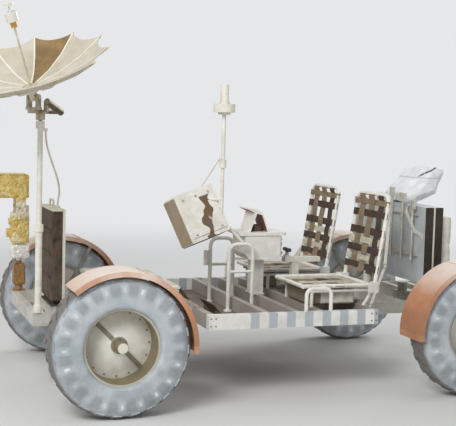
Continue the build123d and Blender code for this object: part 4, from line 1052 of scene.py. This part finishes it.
# Hand controller. A T-shaped grip between the seats that drives, steers and brakes: dark moulded
# rubber on a white armrest box and a steel stem.
grip_paint = worn("white_armrest_and_black_grip", "edeae2", "d5d1c5", cloud_mm=60, grain_mm=2, rough=0.55,
                  dust=0.3, dust_top=0.9)
stem_z, grip_z, up = 0.7865, 0.8075, axes(grip_paint)["Z"]
over(grip_paint, "a09d94", (up, stem_z, stem_z + 0.0005))
over(grip_paint, "37352f", (up, grip_z, grip_z + 0.001))
dress(grip_paint, "hand_controller")

# Straps on the forward boxes. Cream webbing holds each blanket down, drawn tight through a steel
# slide on the lid and hooked under the deck's edge.
box_side, battery_lid, front_lid = 0.3662, 0.6513, 0.6713
straps = []
for s in (1, -1):
    for x, lid in ((0.700, battery_lid), (0.835, battery_lid), (1.010, front_lid)):
        stops = [(box_side + 0.0012, 0.524), (box_side + 0.0012, lid - 0.004), (box_side - 0.004, lid),
                 (0.20, lid + 0.0004), (0.046, lid)]
        straps.append(webbing("deck_strap", [(x, s * y, z) for y, z in stops], (1, 0, 0), 0.026, cream_web))
        straps.append(buckle("deck_slide", (x, s * 0.235, lid + 0.002), (0, 1, 0), (1, 0, 0), 0.028))
deck_straps = merged("deck_straps", straps)
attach(deck_straps, "chassis")

# Bag straps. White webbing goes over the top of each sample bag, down its back and under it, pulled
# tight through a steel slide; a longer one ties the tools to the front of the cabinet.
sample_bags = bpy.data.objects["collection_bags"]
bpy.context.view_layer.update()


def bag_skin(start, heading):
    """The point where a line meets the filled sample bags, a strap's half thickness outside, or None."""
    hit, place, normal, _ = sample_bags.ray_cast(Vector(start), Vector(heading))
    return place + normal * 0.0011 if hit else None


back_heights = (1.080, 1.040, 0.990, 0.930, 0.870, 0.800, 0.740, 0.700)
bag_straps = []
for y in (-0.440, -0.285, 0.285, 0.440):
    stops = [bag_skin((x, y, 1.4), (0, 0, -1)) for x in (-1.140, -1.165, -1.190, -1.203)]
    stops += [bag_skin((-1.5, y, z), (1, 0, 0)) for z in back_heights]
    stops += [bag_skin((x, y, 0.4), (0, 0, 1)) for x in (-1.203, -1.190, -1.165, -1.140)]
    stops = [stop for stop in stops if stop is not None]
    bag_straps.append(webbing("bag_strap", stops, (0, 1, 0), 0.025, white_web))
    at = bag_skin((-1.5, y, 0.965), (1, 0, 0)) + Vector((-0.0015, 0, 0))
    bag_straps.append(buckle("bag_slide", at, (0, 0, 1), (0, 1, 0), 0.026))
tool_tie = [(-1.090, 0.235, 1.1512), (-1.004, 0.296, 1.1512), (-0.9988, 0.300, 1.1460),
            (-0.9585, 0.330, 1.116), (-0.9585, 0.395, 1.052), (-0.9585, 0.455, 0.993),
            (-0.9988, 0.485, 0.963), (-0.9988, 0.500, 0.948)]
bag_straps.append(webbing("tool_tie", tool_tie, (0, 0.70, 0.71), 0.030, white_web))
all_straps = merged("pallet_straps", bag_straps)
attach(all_straps, "pallet")

# Ground and light. A plain pale floor, a large soft lamp high on the rover's left and ahead of
# it, a weaker one from behind, and a pale room that fills the shadows.
haze_colour = linear("e6e7e9")
clear()
bpy.ops.mesh.primitive_plane_add(size=60)
floor = bpy.context.object
floor.name = "floor"
ground = bpy.data.materials.new("pale_plaster_floor")
ground.use_nodes = True
plaster = ground.node_tree.nodes["Principled BSDF"]
plaster.inputs["Base Color"].default_value = linear("dcdcda")
plaster.inputs["Roughness"].default_value = 0.95
floor_at = add(ground, "TexCoord").outputs["Object"]
far_off = add(ground, "VectorMath", {0: floor_at}, operation="LENGTH").outputs["Value"]
haze = add(ground, "MapRange", {"Value": far_off, 1: 3.0, 2: 11.0, 4: 1.0}, interpolation_type="SMOOTHSTEP")


def looked_at(made, *rays):
    """1 where a ray of one of the kinds looks at a surface, and 0 for the light that falls on the rover."""
    seen = add(made, "LightPath").outputs
    found = seen["Is " + rays[0] + " Ray"]
    for ray in rays[1:]:
        found = add(made, "Math", {0: found, 1: seen["Is " + ray + " Ray"]}, operation="MAXIMUM")
    return found


fading = add(ground, "Math", {0: haze, 1: looked_at(ground, "Camera", "Glossy")}, operation="MULTIPLY")
wall = add(ground, "Emission", {"Color": haze_colour, "Strength": 1.0})
sweep = add(ground, "MixShader", {0: fading, 1: plaster.outputs[0], 2: wall.outputs[0]})
ground.node_tree.links.new(sweep.outputs[0], ground.node_tree.nodes["Material Output"].inputs[0])
floor.data.materials.append(ground)

room = bpy.data.worlds.new("pale_room")
room.use_nodes = True
glow = add(room, "MapRange", {"Value": looked_at(room, "Camera", "Glossy", "Transmission"), 3: 0.62, 4: 1.0})
background = room.node_tree.nodes["Background"].inputs
background["Color"].default_value = haze_colour
room.node_tree.links.new(glow.outputs[0], background["Strength"])
bpy.context.scene.world = room

for name, place, size, power in (("key", (5.2, 6.0, 6.4), 3.6, 520), ("back", (-5.5, -3.5, 4.5), 3.2, 160)):
    lamp = bpy.data.lights.new(name, "AREA")
    lamp.size, lamp.energy = size, power
    holder = bpy.data.objects.new(name, lamp)
    bpy.context.scene.collection.objects.link(holder)
    holder.location = place
    aim = Vector((0, 0, 0.8)) - Vector(place)
    holder.rotation_euler = aim.to_track_quat("-Z", "Y").to_euler()

# Camera. It stands on the rover's left, level with the seats and a little ahead of the middle.
eye = Vector((2.620, 6.830, 1.680))
yaw, pitch, roll = radians(-19.6), radians(4.8), radians(1.6)
photo_width, focal_pixels = 456, 1095
look = Vector((sin(yaw) * cos(pitch), -cos(yaw) * cos(pitch), -sin(pitch)))
seen = bpy.data.cameras.new("photo_camera")
seen.sensor_width = 36
seen.lens = 36 * focal_pixels / photo_width
camera = bpy.data.objects.new("photo_camera", seen)
bpy.context.scene.collection.objects.link(camera)
turn = look.to_track_quat("-Z", "Y").to_matrix().to_4x4() @ Matrix.Rotation(roll, 4, "Z")
camera.matrix_world = Matrix.Translation(eye) @ turn
bpy.context.scene.camera = camera
bpy.context.scene.view_settings.view_transform = "Standard"
